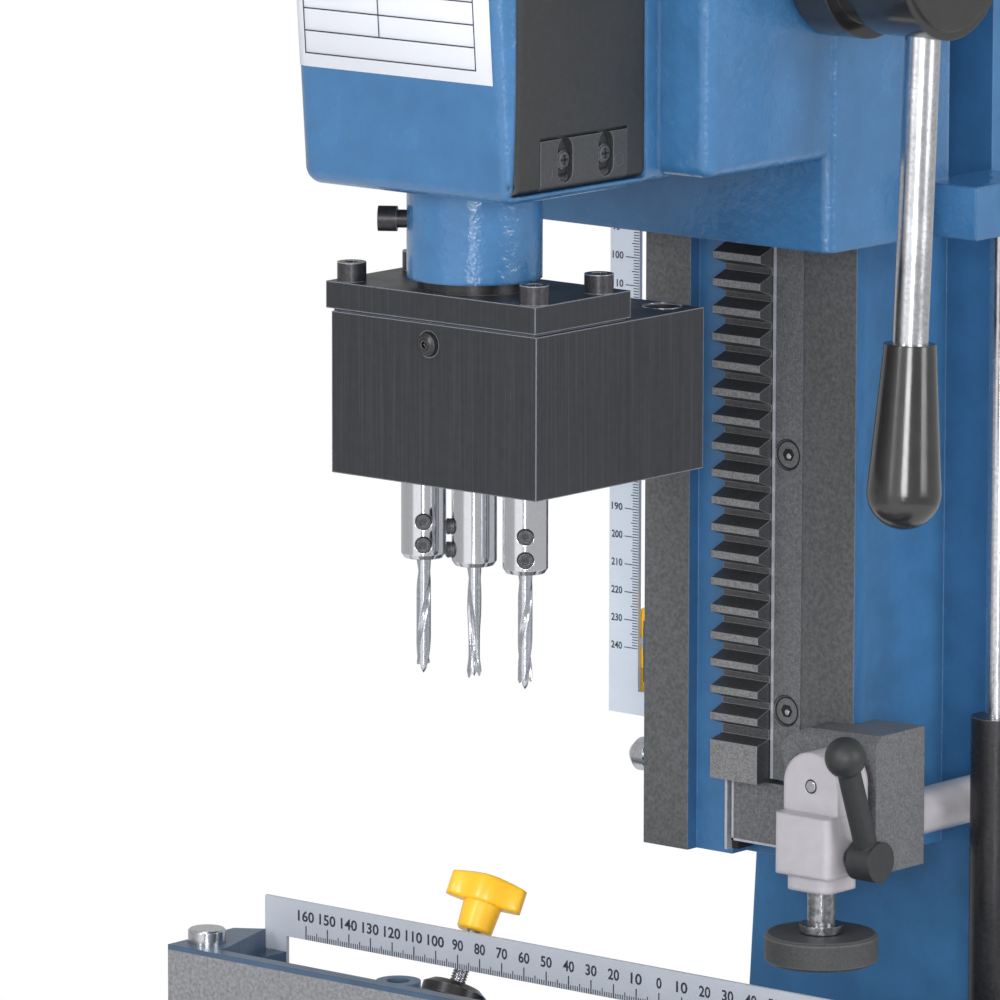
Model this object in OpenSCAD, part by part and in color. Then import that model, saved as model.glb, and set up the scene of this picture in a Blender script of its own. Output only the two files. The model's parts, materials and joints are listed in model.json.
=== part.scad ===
// Hollow chisel mortiser on a floor pedestal, fitted with a three-spindle dowel drilling head.
// Millimetres, +Z up, operator on the -Y side.
// The origin is the centre of the floor bolt pattern, on the floor.
// Most pieces are drawn in the head frame: X and Y from the middle spindle, Z from the gearbox underside.

/* [Machine layout] */
// Spindle line to the floor bolt pattern's centre
spindle_forward = 190; // [180:1:200]
// Gearbox underside above the pedestal's top, head fully up
gearbox_above = 580; // [570:1:590]
// Spindle line back to the sliding ways
throat = 145.6; // [144:0.1:148]
// Travel of the head, down from its top position
head_travel = 150; // [100:1:150]
// Gearbox underside down to the table top
table_drop = 270; // [266:1:280]

/* [Pedestal] */
// Width of the floor plate
base_width = 420; // [400:1:480]
// Depth of the floor plate
base_depth = 450; // [430:1:520]
// Thickness of the floor plate
base_thick = 30; // [24:1:36]
// Floor bolts, centre to centre across
bolt_span_x = 360; // [330:1:364]
// Floor bolts, centre to centre front to back
bolt_span_y = 390; // [370:1:394]
// Diameter of the floor bolt holes
bolt_hole = 14; // [10:0.5:18]
// Height of the pedestal's top above the floor
pedestal_height = 560; // [540:1:580]
// Width of the pedestal's shell at the floor plate
shell_width = 300; // [280:1:330]
// Depth of the pedestal's shell at the floor plate
shell_depth = 320; // [300:1:350]
// Wall of the pedestal casting
pedestal_wall = 7; // [6:0.5:12]
// Thickness of the flanges where column meets pedestal
joint_flange = 20; // [16:1:24]

/* [Column] */
// Width across the front of the dovetail ways
way_width = 92; // [90:0.5:94]
// Thickness of the dovetail plate
way_thick = 26; // [25:0.5:28]
// Gearbox underside down to the bottom of the ways
way_drop = 152.7; // [151:0.1:155]
// Width of each machined way face
way_face = 19.7; // [17:0.1:20]
// Width of the strip screwed in beside the rack
strip_width = 12.7; // [12.5:0.1:13.5]
// Depth of the painted channel beside the rack
channel_depth = 5; // [3:0.5:6]
// Web between dovetail plate and body, front to back
web_length = 43.4; // [40:0.1:48]
// Width of the body at its top
body_width = 100; // [96:0.5:104]
// Depth of the body
body_depth = 85; // [80:1:95]
// How much each side widens for each millimetre downwards
body_taper = 0.058; // [0.05:0.001:0.065]
// Gearbox underside up to the top of the column
column_rise = 370; // [362:1:390]
// Wall of the hollow column body
column_wall = 11; // [9:0.5:14]
// Height of the knee bracket
knee_height = 176; // [166:1:190]

/* [Rack feed] */
// Module of the rack and its pinion
rack_module = 3; // [3:3]
// Teeth on the feed pinion
pinion_teeth = 24; // [24:24]
// Face width of the rack
rack_width = 20.5; // [18:0.5:21]
// How far the rack's tooth crests stand in front of the ways
rack_proud = 7.5; // [7:0.1:8]
// Gearbox underside down to the bottom of the rack
rack_drop = 123.7; // [123:0.1:125]
// Rack's plain end block below the first tooth space
rack_block = 13.4; // [13:0.1:16]
// Gearbox underside up to the top of the rack
rack_rise = 232; // [225:1:260]
// Gearbox underside up to the feed shaft
feed_rise = 172; // [168:1:180]
// Diameter of the feed shaft
feed_shaft_d = 24; // [20:1:26]
// Diameter of the feed hub
feed_hub_d = 58; // [54:1:62]
// Length of the feed hub
feed_hub_length = 48; // [46:1:52]
// Hub centre to the end of a grip
spoke_reach = 190; // [170:1:192]
// Diameter of a spoke
spoke_d = 12; // [10:1:14]
// Diameter of a grip
grip_d = 25; // [22:1:28]

/* [Head casting] */
// Width of the front housing
housing_width = 91.4; // [90:0.2:97]
// Spindle line forward to the housing's front face
housing_front = 35.5; // [34.5:0.5:38]
// Spindle line back to the housing's back
housing_back = 39; // [38:0.5:42]
// Gearbox underside up to the housing's underside
housing_rise = 98; // [96:0.5:99]
// Gearbox underside up to the motor flange's top
head_top = 300; // [296:1:310]
// Diameter of the chisel neck
neck_d = 44.8; // [43:0.2:46]
// Gearbox underside up to the neck's lower end
neck_rise = 67.6; // [67:0.1:69]
// Width of the rear gear case of the head
case_width = 134; // [132:1:136]
// Width of the slide plate
slide_width = 136; // [134:1:140]
// Spindle line back to the slide plate's front
slide_front = 102; // [100:0.5:104]
// Gearbox underside up to the slide plate's lower end
slide_rise = 70; // [69:0.5:74]
// Height of the slide plate
slide_height = 280; // [270:1:284]
// Running gap of the dovetail slides
slide_gap = 0.15; // [0.1:0.05:0.3]
// Thickness of the dovetail gib
gib_thick = 6; // [5:0.5:7]
// Thickness of the access doors
door_thick = 6; // [5:0.5:7]
// Height of the access doors
door_height = 114; // [100:1:116]

/* [Drilling gearbox] */
// Width of the gearbox
gearbox_width = 88; // [86:0.5:92]
// Spindle line forward to the gearbox's front face
gearbox_front = 21; // [20:0.5:23]
// Spindle line back to the gearbox's back face
gearbox_back = 65.5; // [60:0.5:72]
// Height of the gearbox body
gearbox_tall = 54; // [54:0.5:56]
// Thickness of the gearbox lid
lid_thick = 9.9; // [9:0.1:10.5]
// Depth of the gearbox lid
lid_depth = 48.8; // [47:0.2:52]
// Distance between neighbouring spindles, one gear's pitch diameter
spindle_pitch = 22; // [22:22]
// Module of the spindle gears
gear_module = 1; // [1:1]
// Diameter of a spindle
spindle_d = 15; // [14:0.5:16]
// How far the spindles reach below the gearbox
spindle_drop = 28.7; // [26:0.1:31]
// Diameter of a spindle's upper journal
journal_d = 10; // [9:0.5:11]
// Diameter of a drill bit
bit_d = 5; // [4:0.5:6]
// How far the bits reach below the gearbox
bit_drop = 68; // [60:0.5:70]

/* [Motor] */
// Diameter of the motor's barrel
motor_d = 140; // [136:1:144]
// Height of the motor's barrel
motor_height = 170; // [160:1:180]
// Height of the fan cover
fan_cover_height = 48; // [44:1:56]
// Diameter of the motor shaft
motor_shaft_d = 16; // [14:1:18]
// Diameter of the drill chuck
chuck_d = 34; // [30:1:38]

/* [Table and fence] */
// Length of the table
table_length = 450; // [440:1:480]
// Width of the table, front to back
table_width = 170; // [165:1:175]
// Thickness of the table plate
table_thick = 30; // [26:1:34]
// Height of the table's dovetails
dovetail_height = 18; // [16:1:20]
// Thickness of the saddle between its dovetails
saddle_thick = 32; // [28:1:36]
// Length of the saddle's upper dovetail, side to side
saddle_length = 220; // [200:1:240]
// Travel of the table to each side
table_travel_x = 90; // [60:1:90]
// Spindle line back to the fence's face
fence_setback = 47.5; // [46:0.5:50]
// Gearbox underside down to the fence's top edge
fence_drop = 192; // [191.5:0.5:194]
// Length of the fence
fence_length = 361; // [355:1:370]
// Thickness of the fence's wall
fence_wall = 5.5; // [5:0.5:7]
// Spindle line back to the ruler's face
ruler_setback = 92; // [91:0.5:94]
// Gearbox underside down to the ruler's upper edge
ruler_drop = 180.9; // [180.5:0.1:182]
// Height of the ruler's strip
ruler_height = 13.5; // [13:0.5:15]
// Thickness of the sheet of both scales
scale_sheet = 1.5; // [1:0.1:2]
// Diameter of a handwheel
wheel_d = 110; // [100:1:114]
// Diameter of the lead screws
lead_screw_d = 14; // [12:1:16]

/* [Depth stop] */
// Middle of the column to the depth scale's left edge
scale_left = 106.2; // [104:0.2:110]
// Ways back to the depth scale's face
scale_behind = 54; // [52:0.5:56]
// Width of the slot in the depth scale
scale_slot = 9.6; // [8:0.2:14]
// Gearbox underside down to the depth scale's lower end
scale_drop = 122; // [120:1:124]
// Gearbox underside up to the depth scale's upper end
scale_rise = 146; // [140:1:150]
// Gearbox underside down to the depth stop's screw
stop_drop = 94.6; // [93:0.2:98]

/* [Hold-down] */
// Middle of the column to the hold-down's rod
clamp_x = 54.4; // [54:0.2:57]
// Spindle line back to the hold-down's rod
clamp_y = 118; // [117.5:0.5:119]
// Diameter of the hold-down's rod
clamp_rod_d = 9.6; // [9:0.2:12]
// Diameter of the hold-down's foot
clamp_foot_d = 38.6; // [36:0.2:44]
// Thickness of the hold-down's foot
clamp_foot_thick = 9.9; // [8:0.1:11]

/* [Hidden] */
$fn = 48;

// Small sizes that more than one piece shares
cut = 1;                       // how far a cutting shape passes a face
seat_gap = 0.3;                // gap between curved or moving pieces that don't run on each other
running = 0.05;                // radial clearance of a shaft in its bearing
iron_blue = [0.20, 0.43, 0.66];
dark_iron = [0.27, 0.27, 0.28];
black = [0.16, 0.16, 0.17];
steel = [0.78, 0.78, 0.80];
machined = [0.45, 0.45, 0.45];
yellow = [1.0, 0.76, 0.18];
pale_sheet = [0.73, 0.77, 0.83];

// Ways and rack
way_inset = way_thick * tan(30);
rack_pitch = PI * rack_module;
rack_left = -10.5;
rack_crest = throat - rack_proud;
rack_pitch_line = rack_crest + rack_module;
rack_back = throat + 13;
first_crest = rack_block - rack_drop + rack_pitch - 1.1;
rack_teeth = floor((rack_rise - first_crest - 6) / rack_pitch) + 1;
strip_left = rack_left + rack_width + 0.4;
strip_right = strip_left + strip_width;
strip_front = throat - 0.3;
strip_seat = throat + 4.5;
strip_screw_pitch = 89;
strip_screw_x = (strip_left + strip_right) / 2;
strip_screw_z = [for (i = [0 : 3]) -98 + i * strip_screw_pitch];
body_front = throat + way_thick + web_length;
gearbox_height = pedestal_height + gearbox_above;
column_foot = -gearbox_above;
body_foot_width = body_width + 2 * body_taper * (-way_drop - column_foot);

// Feed pinion
pinion_radius = rack_module * pinion_teeth / 2;
pinion_y = rack_pitch_line - pinion_radius;
gap_above_crest = (feed_rise - first_crest) / rack_pitch - 0.5;
pinion_phase = (round(gap_above_crest) - gap_above_crest) * 360 / pinion_teeth;
pinion_face = rack_width + 1.5;
hub_left = slide_width / 2 + 1;
spoke_x = hub_left + feed_hub_length - 12;
spoke_angles = [33, 153, 273];

// Head
case_rise = housing_rise + 3;
slide_top = slide_rise + slide_height;
slide_back = throat + way_thick - 2;
door_y = [-33, 32.5];
door_outer = housing_width / 2 - 0.8;
door_pivot_x = door_outer - door_thick / 2;
door_pivot_z = case_rise + door_thick / 2 + seat_gap;
leaf_y = [-20.3, 24];
leaf_height = 17;
leaf_thick = 2.5;
leaf_screw_y = [-7.6, 13.2];
leaf_screw_z = housing_rise + 12.9;
leaf_slot = 7.6;
chamber_wall = 7.5;
chamber_floor = housing_rise + 10;
neck_bore = 28;
flange_half = motor_d / 2 + 6;
flange_thick = 15;
housing_draft = 4.4;            // lean of the housing's front face, in degrees
motor_top = head_top + motor_height;

// Drilling gearbox
gear_teeth = spindle_pitch / gear_module;
gear_low = 20;
gear_face = 18;
cavity_floor = 16;
gear_turn = 180 / gear_teeth;
bush_wall = 2;
bush_low = 3;
bush_length = 12;
top_bush_length = 8;
lid_shift = -1.5;
lid_width = gearbox_width + 2;
lid_rim = 0.9;
lid_top = gearbox_tall + lid_thick;
lid_screw_x = [lid_shift - 38.5, lid_shift + 40];
lid_screw_y = [-15.5, 17.5];
set_screw_d = 5.6;
set_screw_z = [-15.7, -23.5];
chuck_low = housing_rise + 16;
chuck_height = 46;
shank_top = chuck_low + 20;

// Table, saddle and knee, from the table top downwards
table_low = -table_drop - table_thick;
saddle_high = table_low - dovetail_height;
saddle_low = saddle_high - saddle_thick;
knee_high = saddle_low - dovetail_height;
table_y = 22;
x_way_width = 80;
y_way_width = 80;
dovetail_inset = dovetail_height * tan(30);
x_screw_z = table_low - dovetail_height / 2 - 1;
y_screw_z = saddle_low - dovetail_height / 2 - 1;
screw_channel = lead_screw_d + 8;
knee_front = -72;
knee_thick = 34;
y_wheel_gap = 26;
wheel_hub_d = 32;
wheel_thick = 16;
fence_floor = -table_drop;
pin_d = 13.3;
pin_x = fence_length / 2 - 8.1;
pin_y = fence_setback + 11.5;
ruler_leg = 10;
ruler_length = 349;
ruler_shelf = -fence_drop - 15;
knob_tilt = 28;
knob_x = -91.5;
knob_y = ruler_setback + 8;
knob_z = -fence_drop - 8;
knob_boss_d = 23;
knob_seat = 25;

// Depth stop and hold-down
scale_y = throat + scale_behind;
scale_slot_x = -scale_left + 13.3 + scale_slot / 2;
scale_right = -58;
stop_face = scale_y - seat_gap;
strap_left = scale_slot_x - 0.5;
stop_left = -80.5;
lug_back = stop_face - 1.5;
lug_low = slide_rise;
clamp_top = -102.4;
clamp_step = -123.3;
clamp_base = -144.3;
clamp_lip = clamp_base - 5.6;
clamp_body = 23.7;
clamp_tab = clamp_body - 0.4;
tab_front = clamp_y - 6.3;
tab_pin_z = clamp_top - clamp_tab / 2;
clamp_bore_top = tab_pin_z - 5;
clamp_screw_z = clamp_base + 6.5;
foot_top = -165.4;
clamp_bar_d = 16;
clamp_bar_z = clamp_step - 9;
bracket_top = -98.4;
bracket_front = clamp_y + clamp_body / 2 + 1;
bracket_left = 26.2;
gas_x = 77;
gas_y = throat + way_thick + 14;
gas_tube_d = 18;
gas_rod_d = 8;
gas_tube_top = slide_rise - head_travel - 18;
gas_tube_length = head_travel + 75;

// Places the head frame in the machine
module head_frame() translate([0, -spindle_forward, gearbox_height]) children();

// Flat outline with round corners
module round_rect(w, d, r) {
    square([w - 2 * r, d], center = true);
    square([w, d - 2 * r], center = true);
    for (x = [-1, 1], y = [-1, 1])
        translate([x * (w / 2 - r), y * (d / 2 - r)]) circle(r);
}

// Upright block between two corners, its vertical edges rounded
module round_block(low, high, r) {
    size = high - low;
    translate([(low.x + high.x) / 2, (low.y + high.y) / 2, low.z])
        linear_extrude(size.z) round_rect(size.x, size.y, r);
}

// Block between two corners
module block(low, high) translate(low) cube(high - low);

// Cylinder along X, and one along Y, from a start point
module rod_x(p, d, l) translate(p) rotate([0, 90, 0]) cylinder(d = d, h = l);
module rod_y(p, d, l) translate(p) rotate([-90, 0, 0]) cylinder(d = d, h = l);

// Block whose vertical edges and lower edges are rounded, and whose front leans out by lean at the top
module soft_block(low, high, r, lean = 0) {
    hull() for (x = [low.x + r, high.x - r], back = [0, 1]) {
        y = back == 1 ? high.y - r : low.y + r;
        translate([x, y, low.z + r]) sphere(r, $fn = 32);
        translate([x, y - lean * (1 - back), high.z - 1]) cylinder(r = r, h = 1, $fn = 32);
    }
}

// Section of a dovetail, w wide at its outer face (y = 0), narrowing over depth h
module dovetail(w, h) {
    inset = h * tan(30);
    polygon([[-w / 2, 0], [w / 2, 0], [w / 2 - inset, h], [-w / 2 + inset, h]]);
}

// Angle by which an involute has opened at radius r from its base circle
function involute(base, r) = tan(acos(base / r)) * 180 / PI - acos(base / r);

// Points of one flank, root to tip: side is 1 or -1
function flank(m, teeth, play, side, steps = 4) = let(
    rp = m * teeth / 2,
    base = rp * cos(20),
    root = rp - 1.25 * m,
    half = 90 / teeth - play / rp * 90 / PI + involute(base, rp))
    concat(
        [[root, side * half]],
        [for (i = [0 : steps]) let(r = base + (rp + m - base) * i / steps)
            [r, side * (half - involute(base, r))]]);

// Outline of an involute spur gear with a tooth centred on +X; play thins each tooth
module gear_outline(m, teeth, play) {
    up = flank(m, teeth, play, 1);
    down = flank(m, teeth, play, -1);
    tooth = concat(down, [for (i = [len(up) - 1 : -1 : 0]) up[i]]);
    polygon([for (t = [0 : teeth - 1], p = tooth) let(a = p[1] + t * 360 / teeth) p[0] * [cos(a), sin(a)]]);
}

// Socket-head cap screw standing on z = 0, its shank downwards
module cap_screw(d, head_d, head_h, shank) {
    difference() {
        union() {
            cylinder(d = head_d, h = head_h);
            translate([0, 0, -shank]) cylinder(d = d, h = shank + cut);
        }
        translate([0, 0, head_h / 2]) cylinder(d = d * 0.95, h = head_h, $fn = 6);
    }
}

// Hex bolt with washer under its head, head upwards from z = 0
module hex_bolt(d, shank) {
    cylinder(d = d * 2, h = d * 0.2);
    translate([0, 0, d * 0.2]) cylinder(d = d * 1.8, h = d * 0.6, $fn = 6);
    translate([0, 0, -shank]) cylinder(d = d, h = shank + cut);
}

module floor_holes() {
    for (x = [-1, 1], y = [-1, 1])
        translate([x * bolt_span_x / 2, y * bolt_span_y / 2, -cut])
            cylinder(d = bolt_hole, h = base_thick + 2 * cut);
}

// Tapered hollow of the pedestal, inset by a wall
module pedestal_shell(wall, low, high) {
    y = body_front + body_depth / 2 - spindle_forward;
    hull() {
        translate([0, 0, low]) linear_extrude(1)
            round_rect(shell_width - 2 * wall, shell_depth - 2 * wall, 30 - wall, $fn = 24);
        translate([0, y, high - 1]) linear_extrude(1)
            round_rect(body_foot_width + 60 - 2 * wall, body_depth + 50 - 2 * wall, 22 - wall, $fn = 24);
    }
}

module joint_bolts_at() {
    for (x = [-1, 1], y = [-1, 1])
        translate([x * (body_foot_width / 2 + 13), body_front + body_depth / 2 + y * (body_depth / 2 - 16)])
            children();
}

module pedestal() color(iron_blue) {
    difference() {
        union() {
            translate([0, 0, 0]) linear_extrude(base_thick) round_rect(base_width, base_depth, 30);
            pedestal_shell(0, base_thick, pedestal_height);
        }
        floor_holes();
        pedestal_shell(pedestal_wall, -cut, pedestal_height - joint_flange);
        head_frame() joint_bolts_at()
            translate([0, 0, column_foot - joint_flange - cut]) cylinder(d = 12, h = joint_flange + 2 * cut);
    }
}

// Plan outline of the dovetail plate with its rack slot, strip seat and painted channel
module way_plan() {
    difference() {
        translate([0, throat]) dovetail(way_width, way_thick);
        translate([rack_left, throat - cut]) square([rack_width, rack_back - throat + cut]);
        translate([rack_left + rack_width - cut, throat - cut])
            square([strip_right - strip_left + cut + 0.4, strip_seat - throat + cut]);
        translate([way_face - way_width / 2, throat - cut])
            square([rack_left + way_width / 2 - way_face + cut, channel_depth + cut]);
    }
}

// Front view of the column's body, inset by a wall at its sides and top
module body_front_view(wall = 0) {
    high = column_rise - wall;
    low = column_foot - (wall > 0 ? cut : 0);
    top = body_width / 2 - wall;
    foot = body_foot_width / 2 - wall;
    polygon([[-top, high], [-top, -way_drop], [-foot, low], [foot, low], [top, -way_drop], [top, high]]);
}

module column() color(iron_blue) head_frame() {
    web = way_width - 2 * way_inset;
    difference() {
        union() {
            translate([0, 0, -way_drop]) linear_extrude(column_rise + way_drop) way_plan();
            block([-web / 2, throat + way_thick - cut, -way_drop], [web / 2, body_front + cut, column_rise]);
            translate([0, body_front + body_depth, 0]) rotate([90, 0, 0]) linear_extrude(body_depth)
                body_front_view();
            round_block([-body_foot_width / 2 - 28, body_front - 8, column_foot],
                [body_foot_width / 2 + 28, body_front + body_depth + 8, column_foot + joint_flange], 12);
            gas_lug(column_foot + 90);
        }
        translate([0, body_front + body_depth - column_wall, 0]) rotate([90, 0, 0])
            linear_extrude(body_depth - 2 * column_wall) body_front_view(column_wall);
        joint_bolts_at()
            translate([0, 0, column_foot - cut]) cylinder(d = 12, h = joint_flange + 2 * cut);
        for (z = strip_screw_z) rod_y([strip_screw_x, strip_seat - cut, z], 5, 14);
        knee_bolts_at() rod_y([0, -cut, 0], 12, 30);
        scale_screws_at() rod_x([-cut, 0, 0], 5, 16);
        switch_screws_at() rod_x([-cut - 30, 0, 0], 5, 46);
        rod_x([-stud_reach, throat + way_thick + 7, stud_z], 8, stud_reach - 18);
    }
}

// Lug on the column that carries the gas spring's lower end
module gas_lug(z) {
    low = gas_tube_top - gas_tube_length;
    block([body_width / 2 - 10, gas_y - 9, low - 16], [gas_x + 12, body_front + 20, low]);
}

module rack() color(machined) head_frame() {
    half_crest = rack_pitch / 4 - rack_module * tan(20) - 0.05;
    half_root = rack_pitch / 4 + 1.25 * rack_module * tan(20) - 0.05;
    root = rack_crest + 2.25 * rack_module;
    profile = concat(
        [[rack_back, -rack_drop], [rack_crest, -rack_drop], [rack_crest, rack_block - rack_drop],
         [root, rack_block - rack_drop + 1.5]],
        [for (i = [0 : rack_teeth - 1], p = [[root, -half_root], [rack_crest, -half_crest],
            [rack_crest, half_crest], [root, half_root]]) [p.x, first_crest + i * rack_pitch + p.y]],
        [[root, rack_rise], [rack_back, rack_rise]]);
    translate([rack_left, 0, 0]) rotate([90, 0, 90]) linear_extrude(rack_width) polygon(profile);
}

module way_strip() color(dark_iron) head_frame() {
    difference() {
        block([strip_left, strip_front, -rack_drop + 1.2], [strip_right, strip_seat, rack_rise]);
        for (z = strip_screw_z) {
            rod_y([strip_screw_x, strip_front - cut, z], 5.5, 12);
            rod_y([strip_screw_x, strip_front - cut, z], 11, cut + 1.6);
        }
    }
}

module strip_screws() color(black) head_frame() {
    for (z = strip_screw_z)
        translate([strip_screw_x, strip_front + 1.6, z]) rotate([90, 0, 0]) cap_screw(4.8, 10.4, 1.4, 12);
}

module knee_bolts_at() {
    for (x = [-1, 1], z = [knee_high - 52, knee_high - knee_height + 26])
        translate([x * 49, body_front, z]) children();
}

module frame_bolts() color(steel) head_frame() {
    joint_bolts_at() translate([0, 0, column_foot + joint_flange]) hex_bolt(11.6, joint_flange + 18);
    knee_bolts_at() translate([0, -22, 0]) rotate([90, 0, 0]) hex_bolt(11.6, 22 + column_wall);
    translate([-stud_reach, throat + way_thick + 7, stud_z]) rotate([0, -90, 0]) {
        cylinder(d = 11.8, h = 5);
        translate([0, 0, 5]) cylinder(d1 = 11.8, d2 = 7, h = 2.7);
        translate([0, 0, -stud_reach + 20]) cylinder(d = 7.8, h = stud_reach - 19);
    }
}
stud_reach = 69;               // middle of the column to the head of the stud on its left side
stud_z = -way_drop + 22.7;

// Bracket that carries the saddle: bolted to the column, with the front-to-back dovetail on top
module knee() color(iron_blue) head_frame() {
    low = knee_high - knee_height;
    difference() {
        union() {
            block([-62, body_front - 22, low], [62, body_front, knee_high]);
            block([-52, knee_front, knee_high - knee_thick], [52, body_front - 21, knee_high]);
            translate([0, knee_front, saddle_low]) rotate([-90, 0, 0])
                linear_extrude(table_y + 92 - knee_front) dovetail(y_way_width, dovetail_height);
            for (x = [-34, 22]) translate([x, 0, 0]) rotate([90, 0, 90]) linear_extrude(12)
                polygon([[knee_front + 50, knee_high - knee_thick + 1],
                    [body_front - 21, knee_high - knee_thick + 1],
                    [body_front - 21, low + 10]]);
        }
        block([-screw_channel / 2, knee_front + 14, y_screw_z - screw_channel / 2],
            [screw_channel / 2, table_y + 92 + cut, saddle_low + cut]);
        rod_y([0, knee_front - cut, y_screw_z], lead_screw_d + 2 * running, 20);
        knee_bolts_at() rod_y([0, -24, 0], 12, 30);
    }
}

module scale_screws_at() {
    for (z = [-scale_drop + 60, scale_rise - 20])
        translate([-body_width / 2 , body_front + 9, z]) children();
}

// Slotted sheet with a return flange that is screwed to the column's side
module depth_scale() color(pale_sheet) head_frame() {
    low = -scale_drop;
    flange_y = body_front + 18;
    difference() {
        union() {
            block([-scale_left, scale_y, low],
                [-body_width / 2 - scale_sheet, scale_y + scale_sheet, scale_rise]);
            block([-body_width / 2 - scale_sheet, scale_y, low], [-body_width / 2, flange_y, scale_rise]);
        }
        round_slot_cut(low + 8.5, scale_rise - 8);
        scale_screws_at() rod_x([-scale_sheet - cut, 0, 0], 5.5, 2 * cut + scale_sheet);
    }
}

module round_slot_cut(low, high) {
    block([scale_slot_x - scale_slot / 2, scale_y - cut, low],
        [scale_slot_x + scale_slot / 2, scale_y + scale_sheet + cut, high]);
}

// Hold-down bracket on the lower end of the ways, bored for the sliding bar
module clamp_bracket() color(dark_iron) head_frame() {
    low = clamp_base - 2;
    difference() {
        union() {
            block([-6.5, strip_front, low], [way_width / 2, strip_seat, -rack_drop - 0.4]);
            translate([0, throat + 12, 0]) rotate([90, 0, 0]) linear_extrude(throat + 12 - bracket_front)
                polygon([[bracket_left + 3, low], [bracket_left + 2, bracket_top - 16],
                    [bracket_left, bracket_top - 8.5],
                    [bracket_left + 2, bracket_top - 5], [bracket_left + 10, bracket_top - 0.8],
                    [clamp_x + 13, bracket_top], [clamp_x + 13, low]]);
        }
        translate([0, 0, -way_drop - cut]) linear_extrude(way_drop) difference() {
            translate([-10, throat]) square([way_width / 2 + 10.05, 20]);
            translate([-10, throat - cut]) square([strip_right + 10, strip_seat - throat + cut]);
        }
        rod_y([clamp_x, bracket_front - cut, clamp_bar_z], clamp_bar_d + 2 * running, throat);
        translate([0, bracket_front, bracket_top]) rotate([45, 0, 0]) cube([200, 4, 4], center = true);
    }
}

module switch_screws_at() {
    for (z = [-404, -456])
        translate([-body_foot_width / 2, body_front + 30, z]) children();
}

// Switch box on the column's left side, its buttons facing the operator
module switch_box() color(black) head_frame() {
    right = -body_foot_width / 2 + 6;
    difference() {
        union() {
            round_block([right - 72, body_front + 2, -478], [right - 1, body_front + 58, -382], 5);
            block([right - 4, body_front + 8, -470], [right + 4, body_front + 50, -390]);
        }
        translate([0, body_front + body_depth, 0]) rotate([90, 0, 0]) linear_extrude(body_depth)
            body_front_view();
        for (z = button_z) rod_y([button_x, body_front + 1, z], button_d + 0.8, 24);
    }
}
button_d = 22;
button_x = -body_foot_width / 2 - 30;
button_z = [-410, -450];

module push_button(z) head_frame() {
    rod_y([button_x, body_front - 4, z], button_d, 20);
}

module start_button() color([0.15, 0.55, 0.25]) push_button(button_z[0]);
module stop_button() color([0.75, 0.12, 0.1]) push_button(button_z[1]);

module gas_spring_tube() color(black) head_frame() {
    low = gas_tube_top - gas_tube_length;
    difference() {
        translate([gas_x, gas_y, low]) cylinder(d = gas_tube_d, h = gas_tube_length);
        translate([gas_x, gas_y, low + 8]) cylinder(d = gas_tube_d - 4, h = gas_tube_length - 20);
        translate([gas_x, gas_y, low + 8]) cylinder(d = gas_rod_d + 2 * running, h = gas_tube_length);
    }
}

module gas_spring_rod() color(steel) head_frame() {
    piston = gas_tube_top - 24;
    translate([gas_x, gas_y, piston]) cylinder(d = gas_rod_d, h = slide_rise - piston);
    translate([gas_x, gas_y, piston]) cylinder(d = gas_tube_d - 4.6, h = 8);
}

// Plan outline of the slide plate with its dovetail groove and reliefs for rack and strip
module slide_plan() {
    half = way_width / 2 + slide_gap;
    front = throat - slide_gap;
    back = throat + way_thick + cut;
    inset = (back - front) * tan(30);
    difference() {
        translate([0, (slide_front + slide_back) / 2]) round_rect(slide_width, slide_back - slide_front, 4);
        polygon([[-half, front], [half + gib_thick, front], [half + gib_thick - inset, back],
            [-half + inset, back]]);
        translate([rack_left - 2, rack_crest - 2]) square([rack_width + 4, 20]);
        translate([way_face - way_width / 2 - 1, strip_front - 1]) square([way_width - 2 * way_face + 2, 20]);
    }
}

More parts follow.
